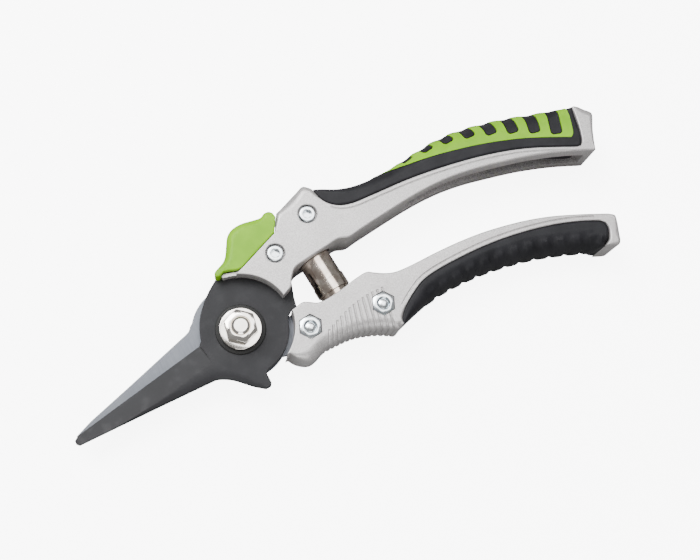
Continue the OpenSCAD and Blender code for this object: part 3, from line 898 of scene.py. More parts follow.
@dataclass
class UpperHandle:
    """The upper casting with its black grip, green cover and pads.

    Attributes:
        finishes: the object's materials.
        cover_proud: how far the cover stands out from the grip.
        cover_wall: the cover's thickness.
        grip_sunk: how far the grip lies under the casting's faces.
        pads: how many pads there are.
        first_pad: the X of the first pad.
        pad_pitch: the distance from pad to pad.
        pad_width: the width of the cover's windows.
        pad_gap: the gap between a window and its pad.
        hump: the height of the cover's humps between the pads.
        hollow: the radius of the casting's hollow round the near blade's hub.
        lip_sunk: how far the lip under the catch's flanges is lowered.
        inner: the casting's edge towards the other handle.
        crest: the grip's outer edge.
        grip_edge: the line where the grip meets the casting's face.
        grip_end: the grip's end at the casting's end.
        end: the casting's end.
        cover_edge: the cover's lower edge.
        cover_end: the cover's end at the casting's end.
        cover_back: a rough line past the crest that closes the cover's outline.
        lip: the casting's edge along the catch's tongue, from the catch's slide.
        shoulder: the casting's edge behind the catch, from the catch's slide.
        tang: the slot for the near blade, from the catch's slide.
    """

    finishes: Finishes
    cover_proud: float = 0.3
    cover_wall: float = 1.0
    grip_sunk: float = 0.35
    pads: int = 8
    first_pad: float = ux(0.312)
    pad_pitch: float = 7.8
    pad_width: float = 4.4
    pad_gap: float = 0.28
    hump: float = 0.5
    hollow: float = 17.6
    lip_sunk: float = 2.15
    inner: tuple[Point, ...] = (
        (22.3, 7.4), (25, 10.1), (30, 11), (38, 12.2), (42.3, 12.8), (46.2, 11.8), (ux(0.06), 12.7),
        (ux(0.25), 15.2), (ux(0.37), 15.9), (ux(0.48), 15.2), (ux(0.6), 13.1), (ux(0.71), 10.7),
        (ux(0.82), 7.4), (ux(0.92), 3.6),
    )
    crest: tuple[Point, ...] = (
        (42.4, 31.9), (44.8, 31.2), (ux(0.05), 28.9), (ux(0.12), 27.9), (ux(0.22), 28.2), (ux(0.32), 29.5),
        (ux(0.43), 31), (ux(0.52), 31.1), (ux(0.61), 30), (ux(0.71), 28), (ux(0.81), 25.2), (ux(0.93), 20.9),
    )
    grip_edge: tuple[Point, ...] = (
        (42.2, 31.7), (43.6, 27), (47.1, 23.6), (ux(0.06), 22), (ux(0.13), 21.7), (ux(0.28), 21.4),
        (ux(0.43), 20), (ux(0.58), 17.5), (ux(0.72), 13.6), (ux(0.88), 6.9),
    )
    grip_end: tuple[Point, ...] = ((ux(0.895), 6.8), (ux(0.91), 8.6), (ux(0.925), 14), (ux(0.935), 20.7))
    end: tuple[Point, ...] = (
        (ux(0.935), 3.2), (ux(0.965), 10), (ux(0.9935), 15.2), (ux(0.99), 17.2), (ux(0.975), 18.6),
    )
    cover_edge: tuple[Point, ...] = (
        (ux(0.165), 28.3), (ux(0.22), 27.7), (ux(0.29), 26.6), (ux(0.43), 24.8), (ux(0.58), 21.8),
        (ux(0.72), 17.6), (ux(0.85), 12.2),
    )
    cover_end: tuple[Point, ...] = ((ux(0.878), 10.9), (ux(0.893), 12.4), (ux(0.91), 18))
    cover_back: tuple[Point, ...] = ((ux(0.918), 26), (ux(0.5), 40), (ux(0.13), 34))
    lip: tuple[Point, ...] = ((8.7, 16.2), (9.8, 16.1), (11.4, 14.9), (13.6, 13.1), (15, 12.75))
    shoulder: tuple[Point, ...] = ((31.5, 12.75), (36.2, 16.2), (36.9, 17.0))
    tang: tuple[Point, ...] = (
        (11.8, 16.6), (15.9, 14.6), (18.6, 12.0), (46.3, 12.0), (47.5, 10.6), (47.5, 7.6), (46.3, 6.3),
        (30.5, 6.3),
    )

    def outline(self) -> Outline:
        """Returns the casting's outline, with the rounding of its edges."""
        edge = smooth(self.grip_edge)
        outline = Outline().run(arc(self.hollow, 11, 84), 0.3).run(uvs(self.lip), 0.3)
        outline.run(uvs(self.shoulder), 0.3, 0.6, 1.6)
        outline.run(uvs([(38.5, 17), (42, 17), (49.4, 17)]), 2.8, 3.8, 3.8)
        outline.run([uv(50.3, 16.6), (41.6, 33.2), (42.3, 32.2)], 3.4, 2.4)
        outline.run(edge[:9], 1.8, 0.4).run(edge[9:], 0.35)
        outline.run(smooth(self.grip_end, 6), 0.35, 0.35, 1.5)
        outline.run([(ux(0.945), 20.7), (ux(0.96), 20.0)], 3.2, 3.6)
        outline.run(smooth(self.end[::-1], 6), 3.4, 1.6, 1.0, 1.0)
        return outline.run(smooth(self.inner)[::-1], 0.9, 0.6, 0.6).run([(20.8, 4.8)], 0.4)

    def casting(self) -> bpy.types.Object:
        """Makes the casting, with its slots, pockets and counterbores."""
        piece = Slab(self.outline()).build("upper_casting")
        slot = uvs(self.tang) + [(22.8, 9), (20, -4), (0, 0), (-8, 14), (1.2, 19.6)]
        pocket = uvs([(12, 0.35), (33.5, 0.35), (33.5, 20), (12, 20)])
        foot = uvs([(5, 12.75), (15, 12.75), (15, 20), (5, 20)])
        inner = smooth(self.inner)
        channel = [(x, y - 2) for x, y in inner[68:129]] + [(x, y + 4) for x, y in inner[74:129]][::-1]
        carve(
            piece, prism(slot, MID, THICK - CHEEK), prism(pocket, CHEEK, MID + 0.1),
            prism(foot, THICK - self.lip_sunk, THICK + 1), prism(foot, -1, self.lip_sunk),
            prism(channel, MID - 4, MID + 4), pocket_cutter(),
        )
        for at in SCREWS:
            head = bore(at, 3.25, THICK - 3.2, THICK, 0.12)
            carve(piece, bore(at, 1.6, -1, THICK + 1), head, hexagon(at, 5.9, -1, 2.6))
        path = [(x + 0.15, y - 1.4) for x, y in smooth(self.grip_edge)[14:-3]]
        carve(piece, groove_cutter(path))
        # Painted shade: the groove's faces and the walls of the counterbores and nut pockets get the dark
        # second material.
        paint_groove_shade(piece, path)
        paint_recess_shade(piece, [(at, 3.6, depth) for depth in (3.3, -2.7) for at in SCREWS])
        return piece

    def grip_outline(self) -> Outline:
        """Returns the outline of the black grip."""
        outline = Outline()
        outline.run(smooth(self.grip_edge), 0.25, *[0.9] * 9).run(smooth(self.grip_end, 6), 0.9, 0.9, 1.6)
        crest = smooth(self.crest)[::-1]
        return outline.run(crest, 2.2, 4.5, *[6.2] * 4, 5.8, 5.0, 4.4, 3.6, 2.0, 0.3)

    def windows(self, shrink: float) -> list[bpy.types.Object]:
        """Makes a rounded box for each pad, made smaller all round by a margin."""
        crest = smooth(self.crest)
        boxes = []
        for i in range(self.pads):
            x = self.first_pad + i * self.pad_pitch
            y = float(level(crest, x))
            drop = 1.6 + 1.17 * i
            half, turn = self.pad_width / 2 - shrink, 14 - 4.3 * i
            corner = min(1.3, half * 0.7, drop * 0.4)
            shape: list[Point] = [(half, 4), (-half, 4)]
            foot = -drop + shrink + corner
            for middle, start in ((-half + corner, 180), (half - corner, 270)):
                for a in quarter(6, start):
                    shape.append((middle + corner * math.cos(a), foot + corner * math.sin(a)))
            placed = [turned(p, turn) for p in shape]
            boxes.append(prism([(x + px, y + py) for px, py in placed], -2, THICK + 2))
        return boxes

    def crest_humps(self, ring: np.ndarray) -> np.ndarray:
        """Returns the height of the green humps between the pads, along the crest."""
        along = ring[:, 0]
        near = np.clip(1 - (level(smooth(self.crest), along) - ring[:, 1]) / 5.0, 0, 1)
        wave = 0.5 - 0.5 * np.cos(2 * math.pi * (along - self.first_pad) / self.pad_pitch)
        within = np.clip((along - ux(0.25)) / 6, 0, 1) * np.clip((ux(0.9) - along) / 3, 0, 1)
        return self.hump * wave * near * within

    def shell(self, name: str, grow: float = 0.0, relief: Relief | None = None) -> bpy.types.Object:
        """Makes a solid of the grip's outline, grown outwards and with a pattern on it if asked."""
        low, high = self.grip_sunk, THICK - self.grip_sunk
        return Slab(self.grip_outline(), low, high, tall=1.3, grow=grow, relief=relief, walls=3).build(name)

    def build(self) -> None:
        """Makes the upper handle's pieces and hands them over."""
        casting = self.casting()
        skin = self.shell("grip_cover", self.cover_proud, self.crest_humps)
        region = [*smooth(self.cover_edge), *smooth(self.cover_end, 6), *self.cover_back]
        carve(skin, prism(region, -3, THICK + 3), cut=Cut.KEEP)
        carve(skin, self.shell("cutter", self.cover_proud - self.cover_wall))
        grip = self.shell("upper_grip_rubber")
        carve(grip, twin(skin, "cutter"))
        pads = twin(skin, "grip_pads")
        carve(skin, *self.windows(0.0))
        carve(pads, joined("cutter", self.windows(self.pad_gap)), cut=Cut.KEEP)
        for piece, slot, node in (
            (casting, Slot.CAST_ALLOY, "upper_handle"), (grip, Slot.BLACK_RUBBER, "upper_grip"),
            (pads, Slot.BLACK_RUBBER, "upper_grip"), (skin, Slot.GREEN_PLASTIC, "upper_grip_cover"),
        ):
            self.finishes.place(piece, Body.UPPER, slot, node)


@dataclass
class LowerHandle:
    """The lower casting, with thumb grooves, and its ribbed black grip.

    Attributes:
        finishes: the object's materials.
        hollow: the radius of the casting's hollow round the far blade's hub.
        grip_sunk: how far the grip lies under the casting's faces.
        grooves: how many thumb grooves there are.
        first_groove: the X of the first groove's foot.
        groove_pitch: the distance from groove to groove.
        groove_bend: the radius with which a groove turns round the chin.
        rib_pitch: the distance from rib to rib.
        rib_height: the height of a rib over the hollows beside it.
        inner: the casting's edge towards the other handle.
        end: the casting's end.
        crest: the grip's outer edge.
        chin: the casting's edge under the thumb grooves.
        grip_edge: the line where the grip meets the casting's face.
        grip_end: the grip's end at the casting's end.
        tang: the slot for the far blade.
    """

    finishes: Finishes
    hollow: float = 17.8
    grip_sunk: float = 0.25
    grooves: int = 13
    first_groove: float = 23.4
    groove_pitch: float = 1.85
    groove_bend: float = 3.8
    rib_pitch: float = 5.4
    rib_height: float = 0.55
    inner: tuple[Point, ...] = (
        (17.5, -2.4), (19.8, -1.8), (22, -1.5), (24, -2.4), (26.5, -3.8), (30, -3.9), (35, -3.2), (41, -1.9),
        (45.6, -1.4), (48, -2.7), (51.5, -4.6), (lx(0.06), -5.6), (lx(0.13), -5.8), (lx(0.24), -5.5),
        (lx(0.36), -5.6), (lx(0.48), -6.4), (lx(0.62), -8.4), (lx(0.74), -11.1), (lx(0.86), -14.9),
        (lx(0.97), -18.9),
    )
    end: tuple[Point, ...] = (
        (lx(0.99), -20), (lx(0.996), -21.3), (lx(0.977), -27.0), (lx(0.965), -29.2), (lx(0.952), -30.2),
        (lx(0.935), -29.9),
    )
    crest: tuple[Point, ...] = (
        (49.2, -22.4), (lx(0.085), -20.1), (lx(0.17), -18.5), (lx(0.26), -17.9), (lx(0.36), -17.9),
        (lx(0.47), -18.7), (lx(0.61), -20.7), (lx(0.74), -23.8), (lx(0.89), -28.3),
    )
    chin: tuple[Point, ...] = (
        (10.7, -15), (12, -17.3), (14.2, -19.4), (16.4, -20.2), (18.8, -19.7), (21.4, -18.6), (24, -18.2),
        (33, -18.3), (40, -20.2), (45.8, -22.8), (47.6, -23.3), (49.2, -22.4),
    )
    grip_edge: tuple[Point, ...] = (
        (49.1, -22.3), (49.6, -20.6), (51.8, -18), (54.8, -15.8), (57.6, -14.1), (60.8, -12.5),
        (lx(0.18), -11.4), (lx(0.27), -10.7), (lx(0.4), -10.5), (lx(0.51), -11), (lx(0.62), -12.2),
        (lx(0.74), -14.3), (lx(0.85), -17.2), (lx(0.925), -19.9),
    )
    grip_end: tuple[Point, ...] = ((lx(0.942), -21.3), (lx(0.943), -23.7), (lx(0.925), -27), (lx(0.9), -28.5))
    tang: tuple[Point, ...] = (
        (16, -2.2), (22, -2.4), (26, -6.2), (29, -8.7), (41, -8.9), (50.2, -10.2), (51.4, -12), (51.4, -15.6),
        (50.2, -17.2), (24, -15.6), (13.4, -15.6), (9, -15), (6, -8), (8, 0),
    )

    def casting(self) -> bpy.types.Object:
        """Makes the casting, with its slot, pockets and grooves."""
        outline = Outline().run(arc(self.hollow, -57, -8), 0.3).run(smooth(self.inner), 0.5)
        outline.run(smooth(self.end, 6), 0.8, 1.2, 4.5, 6.2)
        outline.run(smooth(self.grip_end, 6)[::-1], 5.8, 2.4, 0.5, 0.35)
        outline.run(smooth(self.grip_edge)[::-1], *[0.35] * 12, 1.4)
        outline.run(smooth(self.chin)[::-1], 2.0, *[3.8] * 11, 3.2, 1.6, 0.4)
        piece = Slab(outline).build("lower_casting")
        carve(piece, prism(self.tang, CHEEK, MID), pocket_cutter())
        for at in BOLTS:
            socket = hexagon(at, 7.5, THICK - 3.4, THICK + 1)
            carve(piece, bore(at, 2.1, -1, THICK + 1), socket, bore(at, 3.8, -1, 2.5))
        carve(piece, joined("cutter", self.thumb_grooves()))
        carve(piece, groove_cutter(self.groove()))
        # Painted shade: the groove's faces and the walls of the nut sockets and bolt counterbores get the
        # dark second material.
        paint_groove_shade(piece, self.groove())
        paint_recess_shade(piece, [(at, radius, depth) for radius, depth in ((4.5, 3.5), (4.2, -2.6)) for at in BOLTS])
        return piece

    def thumb_grooves(self) -> list[bpy.types.Object]:
        """Makes the cutters of the grooves that run from the near face round the chin to the far face."""
        chin, bend, proud = smooth(self.chin), self.groove_bend, 0.12
        made = []
        for i in range(self.grooves):
            x = self.first_groove + i * self.groove_pitch
            rise = 6.6 * math.sin(math.radians(min(90.0, 12 + 7.5 * i)))
            top, foot = Vector((x + 2.4, -14.8 + rise)), Vector((x, float(level(chin, x))))
            way, length = (foot - top).normalized(), (foot - top).length
            path = [(proud, THICK + proud)]
            for a in quarter(6):
                back, down = bend * (1 - math.sin(a)), bend * (1 - math.cos(a))
                path.append((length - back + proud, THICK + proud - down))
            path += [(d, THICK - z) for d, z in reversed(path)]
            made.append(tube([(top.x + way.x * d, top.y + way.y * d, z) for d, z in path], 0.5, 8))
        return made

    def groove(self) -> list[Point]:
        """Returns the path of the thin line that runs along the grip."""
        edge, apart = smooth(self.grip_edge), 1.4
        path = []
        for i in range(22, len(edge) - 4):
            way = (Vector(edge[i + 2]) - Vector(edge[i - 2])).normalized()
            path.append((edge[i][0] - way.y * apart, edge[i][1] + way.x * apart))
        return path

    def ribs(self, ring: np.ndarray) -> np.ndarray:
        """Returns the height of the finger ribs, which fade out towards the flat faces."""
        along, start, stop = ring[:, 0], lx(0.12), lx(0.89)
        depth = ring[:, 1] - level(smooth(self.crest), along)
        reach = 3.0 + 2.0 * np.clip((along - start) / 40, 0, 1)
        near, faded = (np.clip((reach + more - depth) / 1.2, 0, 1) for more in (0.0, 1.2))
        phase = np.abs(((along - start) / self.rib_pitch) % 1.0 - 0.5) * 2
        rib = np.clip((0.72 - phase) / 0.3, 0, 1)
        rib = rib * rib * (3 - 2 * rib)
        within = np.clip((along - start) / 3, 0, 1) * np.clip((stop - along) / 2, 0, 1)
        return self.rib_height * (rib * near - 0.35) * within * faded

    def build(self) -> None:
        """Makes the lower handle's pieces and hands them over."""
        self.finishes.place(self.casting(), Body.LOWER, Slot.CAST_ALLOY, "lower_handle")
        outline = Outline().run(smooth(self.grip_edge), 0.2, *[0.7] * 10)
        outline.run(smooth(self.grip_end, 6), 0.9, 0.9, 3.0, 6.0)
        outline.run(smooth(self.crest)[::-1], 5.8, *[5.9] * 6, 4.0, 0.3)
        low, high = self.grip_sunk, THICK - self.grip_sunk
        slab = Slab(outline, low, high, tall=1.25, spacing=0.45, arcs=12, relief=self.ribs, walls=3)
        self.finishes.place(slab.build("lower_grip_rubber"), Body.LOWER, Slot.BLACK_RUBBER, "lower_grip")


# ---------------------------------------------------------------- blades and fasteners

@dataclass
class Blades:
    """The dark near blade, held by the upper handle, and the bright far blade, held by the lower one.

    Attributes:
        finishes: the object's materials.
        length: the blades' length from the hub.
        hub: the radius of the near blade's hub.
        far_hub: the radius of the far blade's hub.
        tip_y: the Y of the cutting edges' tip.
        bevel_width: the width of the ground bevels.
        bevel_depth: the depth of the ground bevels at the edge.
        notch_turns: the angles, in degrees, at which a notch takes the catch's tongue.
    """

    finishes: Finishes
    length: float = 50.0
    hub: float = 16.2
    far_hub: float = 16.4
    tip_y: float = -8.5
    bevel_width: float = 7.2
    bevel_depth: float = 1.9
    notch_turns: tuple[float, ...] = (0.0, 27.0)

    def bx(self, share: float) -> float:
        """Returns the X of a place along the blades, as a share of their length from the hub."""
        return -13.4 - share * self.length

    def near_outline(self) -> Outline:
        """Returns the near blade's outline, with the rounding of its outer edges."""
        outline = Outline().run([(self.bx(0.97), self.tip_y), (self.bx(0.02), 1.1)], 0.15)
        hub = [(-13.2, 2.3), (-12.8, 4.3), (-10.3, 9.5), (-5.7, 14.8), (-0.5, 18.8), (1.2, 19.5)]
        outline.run(smooth(hub), 0.3)
        outline.run(uvs([(11.8, 16.5), (15.9, 14.5), (18.6, 11.9), (46.2, 11.9), (47.4, 10.6)]), 0.15)
        outline.run([*uvs([(47.4, 7.6), (46.2, 6.4), (30.5, 6.4)]), (22.6, 9), (22.2, 6.6)], 0.15)
        outline.run([(20.9, 2.3), (20.2, -1.2), (18.3, -1.3), (17.1, -2.2)], 0.2)
        outline.run(arc(self.hub, -13, -80), 0.35)
        outline.run([(2.1, -16.1), (1.5, -17.2)], 0.4)
        outline.run(smooth([(1.6, -20.3), (0.9, -21.3), (-0.9, -21.4)], 6), 0.5)
        spine = smooth([(-0.9, -21.4), (-4.5, -18.8), (-9.5, -14.2), (-13.5, -12), (-16, -11.7)])
        outline.run(spine, 1.0, 3.0, 3.6)
        outline.run([(-16.5, -11.7), (-38, -11.7), (self.bx(0.985), -11.7)], 3.6, 2.2, 0.5)
        return outline.run([(self.bx(1), -10.9), (self.bx(1), -9.6)], 0.3)

    def wedge(self, edge: tuple[Point, Point], top: bool) -> bpy.types.Object:
        """Makes the cutter of a ground bevel along a cutting edge.

        Args:
            edge: the cutting edge, from tip to root.
            top: whether the bevel is on the near face, with the blade to the edge's right.

        Returns:
            The cutter.
        """
        way = Vector(edge[1]) - Vector(edge[0])
        side = 1 if top else -1
        face = MID + (BLADE_GAP / 2 + BLADE) * side
        slope = math.atan2(self.bevel_depth, self.bevel_width)
        long, wide, high = way.length + 5, self.bevel_width * 1.5 + 3, 5.0
        box = Matrix.Translation((way.length - long / 2, 3 - wide / 2, high / 2))
        box = box @ Matrix.Diagonal((long, wide, high, 1))
        place = Matrix.Translation((*edge[0], face - side * self.bevel_depth))
        place = place @ Matrix.Rotation(math.atan2(way.y, way.x), 4, "Z")
        place = place @ Matrix.Rotation(0 if top else math.pi, 4, "X") @ Matrix.Rotation(-slope, 4, "X")
        bm = bmesh.new()
        bmesh.ops.create_cube(bm, size=1.0, matrix=place @ box)
        return new_piece("cutter", bm)

    def near(self) -> bpy.types.Object:
        """Makes the near blade."""
        low = MID + BLADE_GAP / 2
        piece = Slab(self.near_outline(), low, low + BLADE, tall=0.6, spacing=0.9).build("near_blade")
        bevel = self.wedge(((self.bx(0.97), self.tip_y), (self.bx(0.02), 1.1)), True)
        holes = [bore(at, 1.6, 0, THICK) for at in SCREWS]
        return carve(piece, bevel, bore((0, 0), 3.1, 0, THICK), *holes)

    def far(self) -> bpy.types.Object:
        """Makes the far blade."""
        high = MID - BLADE_GAP / 2
        outline = Outline().run([(self.bx(0.98), self.tip_y + 0.2), (self.bx(0.86), -5.8)], 0.25)
        outline.run([(self.bx(0.54), -0.8), (self.bx(0.2), 4.7)], 0.25)
        outline.run(smooth([(-17.2, 6.7), (-15.6, 7.4), (-14.2, 8.9)], 6), 0.25)
        outline.run(arc(self.far_hub, 145, 0, 90), 0.25)
        outline.run([(17, -2.4), (22, -2.6), (26, -6.4), (29, -8.9), (41, -9.1), (50, -10.4)], 0.15)
        outline.run([(51.2, -12), (51.2, -15.6), (50, -17), (24, -15.4), (13.4, -15.4), (11.4, -14.2)], 0.15)
        outline.run(arc(self.far_hub, -57, -140), 0.25)
        outline.run([(-17, -9.6), (self.bx(0.2), -8.6), (self.bx(0.98), -10)], 0.1)
        piece = Slab(outline, high - BLADE, high, arcs=3).build("far_blade")
        bevel = self.wedge(((self.bx(0.98), -10), (self.bx(0.2), -8.6)), False)
        notch = uvs([(13.2, 0.35), (25, 0.35), (25, 4.65), (13.2, 4.65)])
        below, above = high - BLADE - 1, high + 0.5
        notches = [prism([turned(p, turn) for p in notch], below, above) for turn in self.notch_turns]
        holes = [bore(at, 2.1, 0, THICK) for at in BOLTS]
        return carve(piece, bevel, bore((0, 0), 3.05, 0, THICK), *notches, *holes)

    def build(self) -> None:
        """Makes the blades and hands them over."""
        self.finishes.place(self.near(), Body.UPPER, Slot.COATED_STEEL, "upper_blade")
        self.finishes.place(self.far(), Body.LOWER, Slot.BLADE_STEEL, "lower_blade")


@dataclass
class Fasteners:
    """The pivot's bolt, nut and washers, and the handles' screws, bolts and nuts.

    Attributes:
        finishes: the object's materials.
        pivot_flats: the width across the flats of the pivot's nut and head.
        pivot_turn: how far they are turned, in degrees.
        pivot_radius: the radius of the pivot bolt's shank.
        pivot_hole: the radius of the holes in the washers and rings.
        head_high: the top of the pivot bolt's head.
        band_low: the bottom of the head's friction ring.
        band_high: the bottom of the nut's friction ring.
        washer_low: the bottom of the nut's washer.
        washer_high: the top of the nut's washer.
        nut_high: the top of the pivot's nut.
        bolt_end: the end of the pivot bolt.
        screw_head: the radius of the screws' heads.
        screw_top: the top of the screws' heads.
    """

    finishes: Finishes
    pivot_flats: float = 10.0
    pivot_turn: float = 20.0
    pivot_radius: float = 2.95
    pivot_hole: float = 3.1
    head_high: float = 4.0
    band_low: float = 5.45
    band_high: float = 11.95
    washer_low: float = 12.55
    washer_high: float = 14.0
    nut_high: float = 19.0
    bolt_end: float = 19.8
    screw_head: float = 2.75
    screw_top: float = 17.85

    def nut(
        self, name: str, at: Point, flats: float, low: float, high: float, hole: float, turn: float = 7.0,
        both: bool = False,
    ) -> bpy.types.Object:
        """Makes a hexagon nut with chamfered corners.

        Args:
            name: the object's name.
            at: its middle.
            flats: the width across its flats.
            low: the height of its lower face.
            high: the height of its upper face.
            hole: the radius of its hole, or 0 for a bolt's head.
            turn: its turn in degrees.
            both: whether its lower corners are chamfered too.

        Returns:
            The nut.
        """
        face, corner, edge = flats * 0.475, flats / 2 / math.cos(math.pi / 6), 0.35
        drop = (corner - face) * 0.55
        corner += 0.01
        base = [(0, low), (face, low), (corner, low + drop)] if both else [(0, low), (corner, low)]
        body = hexagon(at, flats, low, high, turn, name)
        whole = lathe([*base, (corner, high - drop), (face, high), (0, high)], at, sides=96)
        carve(body, whole, cut=Cut.KEEP)
        if hole:
            mouth = hole + edge
            inside = [(0, low - 1), (mouth, low - 1), (mouth, low), (hole, low + edge), (hole, high - edge)]
            carve(body, lathe([*inside, (mouth, high), (mouth, high + 1), (0, high + 1)], at))
        return body

    def thread(self, radius: float, low: float, high: float, pitch: float, end: float) -> list[Point]:
        """Returns the profile of a threaded shank's end, up from its root."""
        profile = [(0, low), (radius, low)]
        for k in range(int((high - low) / pitch)):
            for deep, share in ((0, 0.15), (0.35, 0.5), (0, 0.85)):
                profile.append((radius - deep * pitch, low + (k + share) * pitch))
        return [*profile, (radius, high), (radius - end, high + end * 0.7)]

    def pivot(self) -> None:
        """Makes the pivot's bolt, nut, washers and rings."""
        radius, seat, end, low = self.pivot_radius, self.washer_high, self.bolt_end, self.head_high
        shank = self.thread(radius, seat + 0.2, end - 0.75, 1.0, 0.45)
        rise = [(2.2, end - 0.1), (1.2, end - 0.03), (0, end)]
        shaft = lathe([(0, low), (radius, low), (radius, seat + 0.1), *shank[1:], *rise])
        head = self.nut("head", (0, 0), self.pivot_flats, 0.0, self.head_high, 0, self.pivot_turn, True)
        nut = self.nut(
            "pivot_nut_chamfered", (0, 0), self.pivot_flats, seat, self.nut_high, 3.0, self.pivot_turn, True
        )
        bolt = joined("pivot_bolt_turned", [shaft, head])
        made = [(bolt, Slot.NICKEL_PLATE, "pivot_bolt"), (nut, Slot.NICKEL_PLATE, "pivot_nut")]
        steel, black = (Slot.NICKEL_PLATE, "_stamped", 7.05, 0.25), (Slot.BLACK_PLASTIC, "_moulded", 8.4, 0.2)
        for node, (slot, ending, outer, edge), bottom, top in (
            ("nut_washer", steel, self.washer_low, seat), ("head_washer", steel, low, self.band_low),
            ("nut_friction_ring", black, self.band_high, self.washer_low),
            ("head_friction_ring", black, self.band_low, CHEEK),
        ):
            made.append((self.ring(node + ending, outer, bottom, top, edge), slot, node))
        for piece, slot, node in made:
            self.finishes.place(piece, Body.UPPER, slot, node)

    def ring(self, name: str, outer: float, low: float, high: float, edge: float) -> bpy.types.Object:
        """Makes a washer with softened edges."""
        top = [(outer - edge + edge * math.cos(a), high - edge + edge * math.sin(a)) for a in quarter(4)]
        base = [(r, low + high - z) for r, z in reversed(top)]
        piece = lathe([(0, low), *base, *top, (0, high)], name=name, sides=96)
        return carve(piece, bore((0, 0), self.pivot_hole, low - 1, high + 1))

    def screws(self) -> None:
        """Makes the screws and nuts that hold the near blade."""
        wide, top, edge, under = self.screw_head, self.screw_top, 0.45, 14.85
        rim = [(wide - edge + edge * math.cos(a), top - edge + edge * math.sin(a)) for a in quarter(5)]
        heads, nuts = [], []
        for at in SCREWS:
            head = lathe([(0, 0.6), (1.5, 0.6), (1.5, under), (wide, under), *rim, (1.75, top), (0, top)], at)
            carve(head, lathe([(0, 15.9), (1.25, 16.1), (1.25, 17.5), (1.75, 17.95), (0, 17.95)], at))
            heads.append(carve(head, hexagon(at, 2.75, 15.9, 18.5, 10)))
            nuts.append(self.nut("nut", at, 5.5, 0.1, 2.55, 1.55))
        screws = ("blade_screws_socket", heads, "upper_blade_screws")
        self.fasten(Body.UPPER, screws, ("blade_nuts_chamfered", nuts, "upper_blade_nuts"))

    def bolts(self) -> None:
        """Makes the bolts and nuts that hold the far blade."""
        shank = self.thread(2.0, 14.4, 17.1, 0.7, 0.3)
        head = [(0, 0.2), (3.1, 0.2), (3.5, 0.6), (3.5, 2.4), (2.0, 2.4), (2.0, 14.4)]
        dome = [(1.2, 17.55), (0.5, 17.65), (0, 17.68)]
        bolts = [lathe([*head, *shank[2:], *dome], at) for at in BOLTS]
        nuts = [self.nut("nut", at, 7.0, THICK - 3.35, THICK - 0.1, 2.0) for at in BOLTS]
        turned_bolts = ("lower_bolts_turned", bolts, "lower_blade_bolts")
        self.fasten(Body.LOWER, turned_bolts, ("lower_nuts_chamfered", nuts, "lower_blade_nuts"))

    def fasten(self, body: Body, *groups: tuple[str, list[bpy.types.Object], str]) -> None:
        """Joins groups of zinc-plated parts, each with its name and node, and hands them to the frame."""
        for name, parts, node in groups:
            self.finishes.place(joined(name, parts), body, Slot.ZINC_PLATE, node)

    def build(self) -> None:
        """Makes all the fasteners."""
        self.pivot()
        self.screws()
        self.bolts()


# ---------------------------------------------------------------- spring and catch

@dataclass
class Spring:
    """The volute spring, a thin strip wound on itself so that its turns slide into each other.

    Attributes:
        finishes: the object's materials.
        strip: the strip's thickness.
        corner: how far the strip's edges are cut back.
        steps: how many faces each turn has.
        winding: the turns wound so far, the outer radius, and the strip's lower and upper edges there.
    """

    finishes: Finishes
    strip: float = 0.32
    corner: float = 0.09
    steps: int = 72
    winding: tuple[tuple[float, float, float, float], ...] = (
        (0.0, 5.95, 5.6, 9.1), (0.5, 5.92, 5.6, 10.5), (0.62, 5.9, 5.6, 11.0), (0.85, 5.66, 5.6, 17.4),
        (1.0, 5.6, 5.6, 18.2), (1.5, 5.58, 5.7, 19.6), (2.0, 5.24, 3.6, 21.0), (2.5, 5.2, 1.6, 22.6),
        (3.0, 4.88, 0.1, 23.9), (3.6, 4.86, 0.1, 23.9),
    )

    def build(self) -> None:
        """Winds the strip and sets it between the handles."""
        turns, radii, lows, highs = (np.array(column) for column in zip(*self.winding))
        count = int(turns[-1] * self.steps)
        half, corner = self.strip / 2, self.corner
        section = [(-half + corner, 0, 0), (half - corner, 0, 0), (half, 0, corner), (half, 1, -corner)]
        section += [(half - corner, 1, 0), (-half + corner, 1, 0), (-half, 1, -corner), (-half, 0, corner)]
        bm = bmesh.new()
        line = [bm.verts.new((radii[0] - half + r, 0, end * highs[0] + z)) for r, end, z in section]
        face = bm.faces.new(line)
        bmesh.ops.spin(
            bm, geom=[face], axis=(0, 0, 1), cent=(0, 0, 0), angle=math.tau * float(turns[-1]), steps=count
        )
        bm.verts.ensure_lookup_table()
        for i, v in enumerate(bm.verts):
            turn = float(turns[-1]) * (i // len(line)) / count
            r, end, z = section[i % len(line)]
            radius = float(np.interp(turn, turns, radii)) - half + r
            edge = float(np.interp(turn, turns, highs if end else lows)) + z
            angle = math.tau * turn + math.pi
            v.co = (radius * math.cos(angle), radius * math.sin(angle), edge)
        bmesh.ops.recalc_face_normals(bm, faces=bm.faces)
        bmesh.ops.transform(bm, matrix=along_spring(), verts=bm.verts)
        piece = new_piece("spring_wound", bm)
        self.finishes.dress(piece, Slot.SPRING_STEEL)
        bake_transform(piece)
        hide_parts("volute_spring")
        log.info("%s: %d faces, between the handles", piece.name, len(piece.data.polygons))


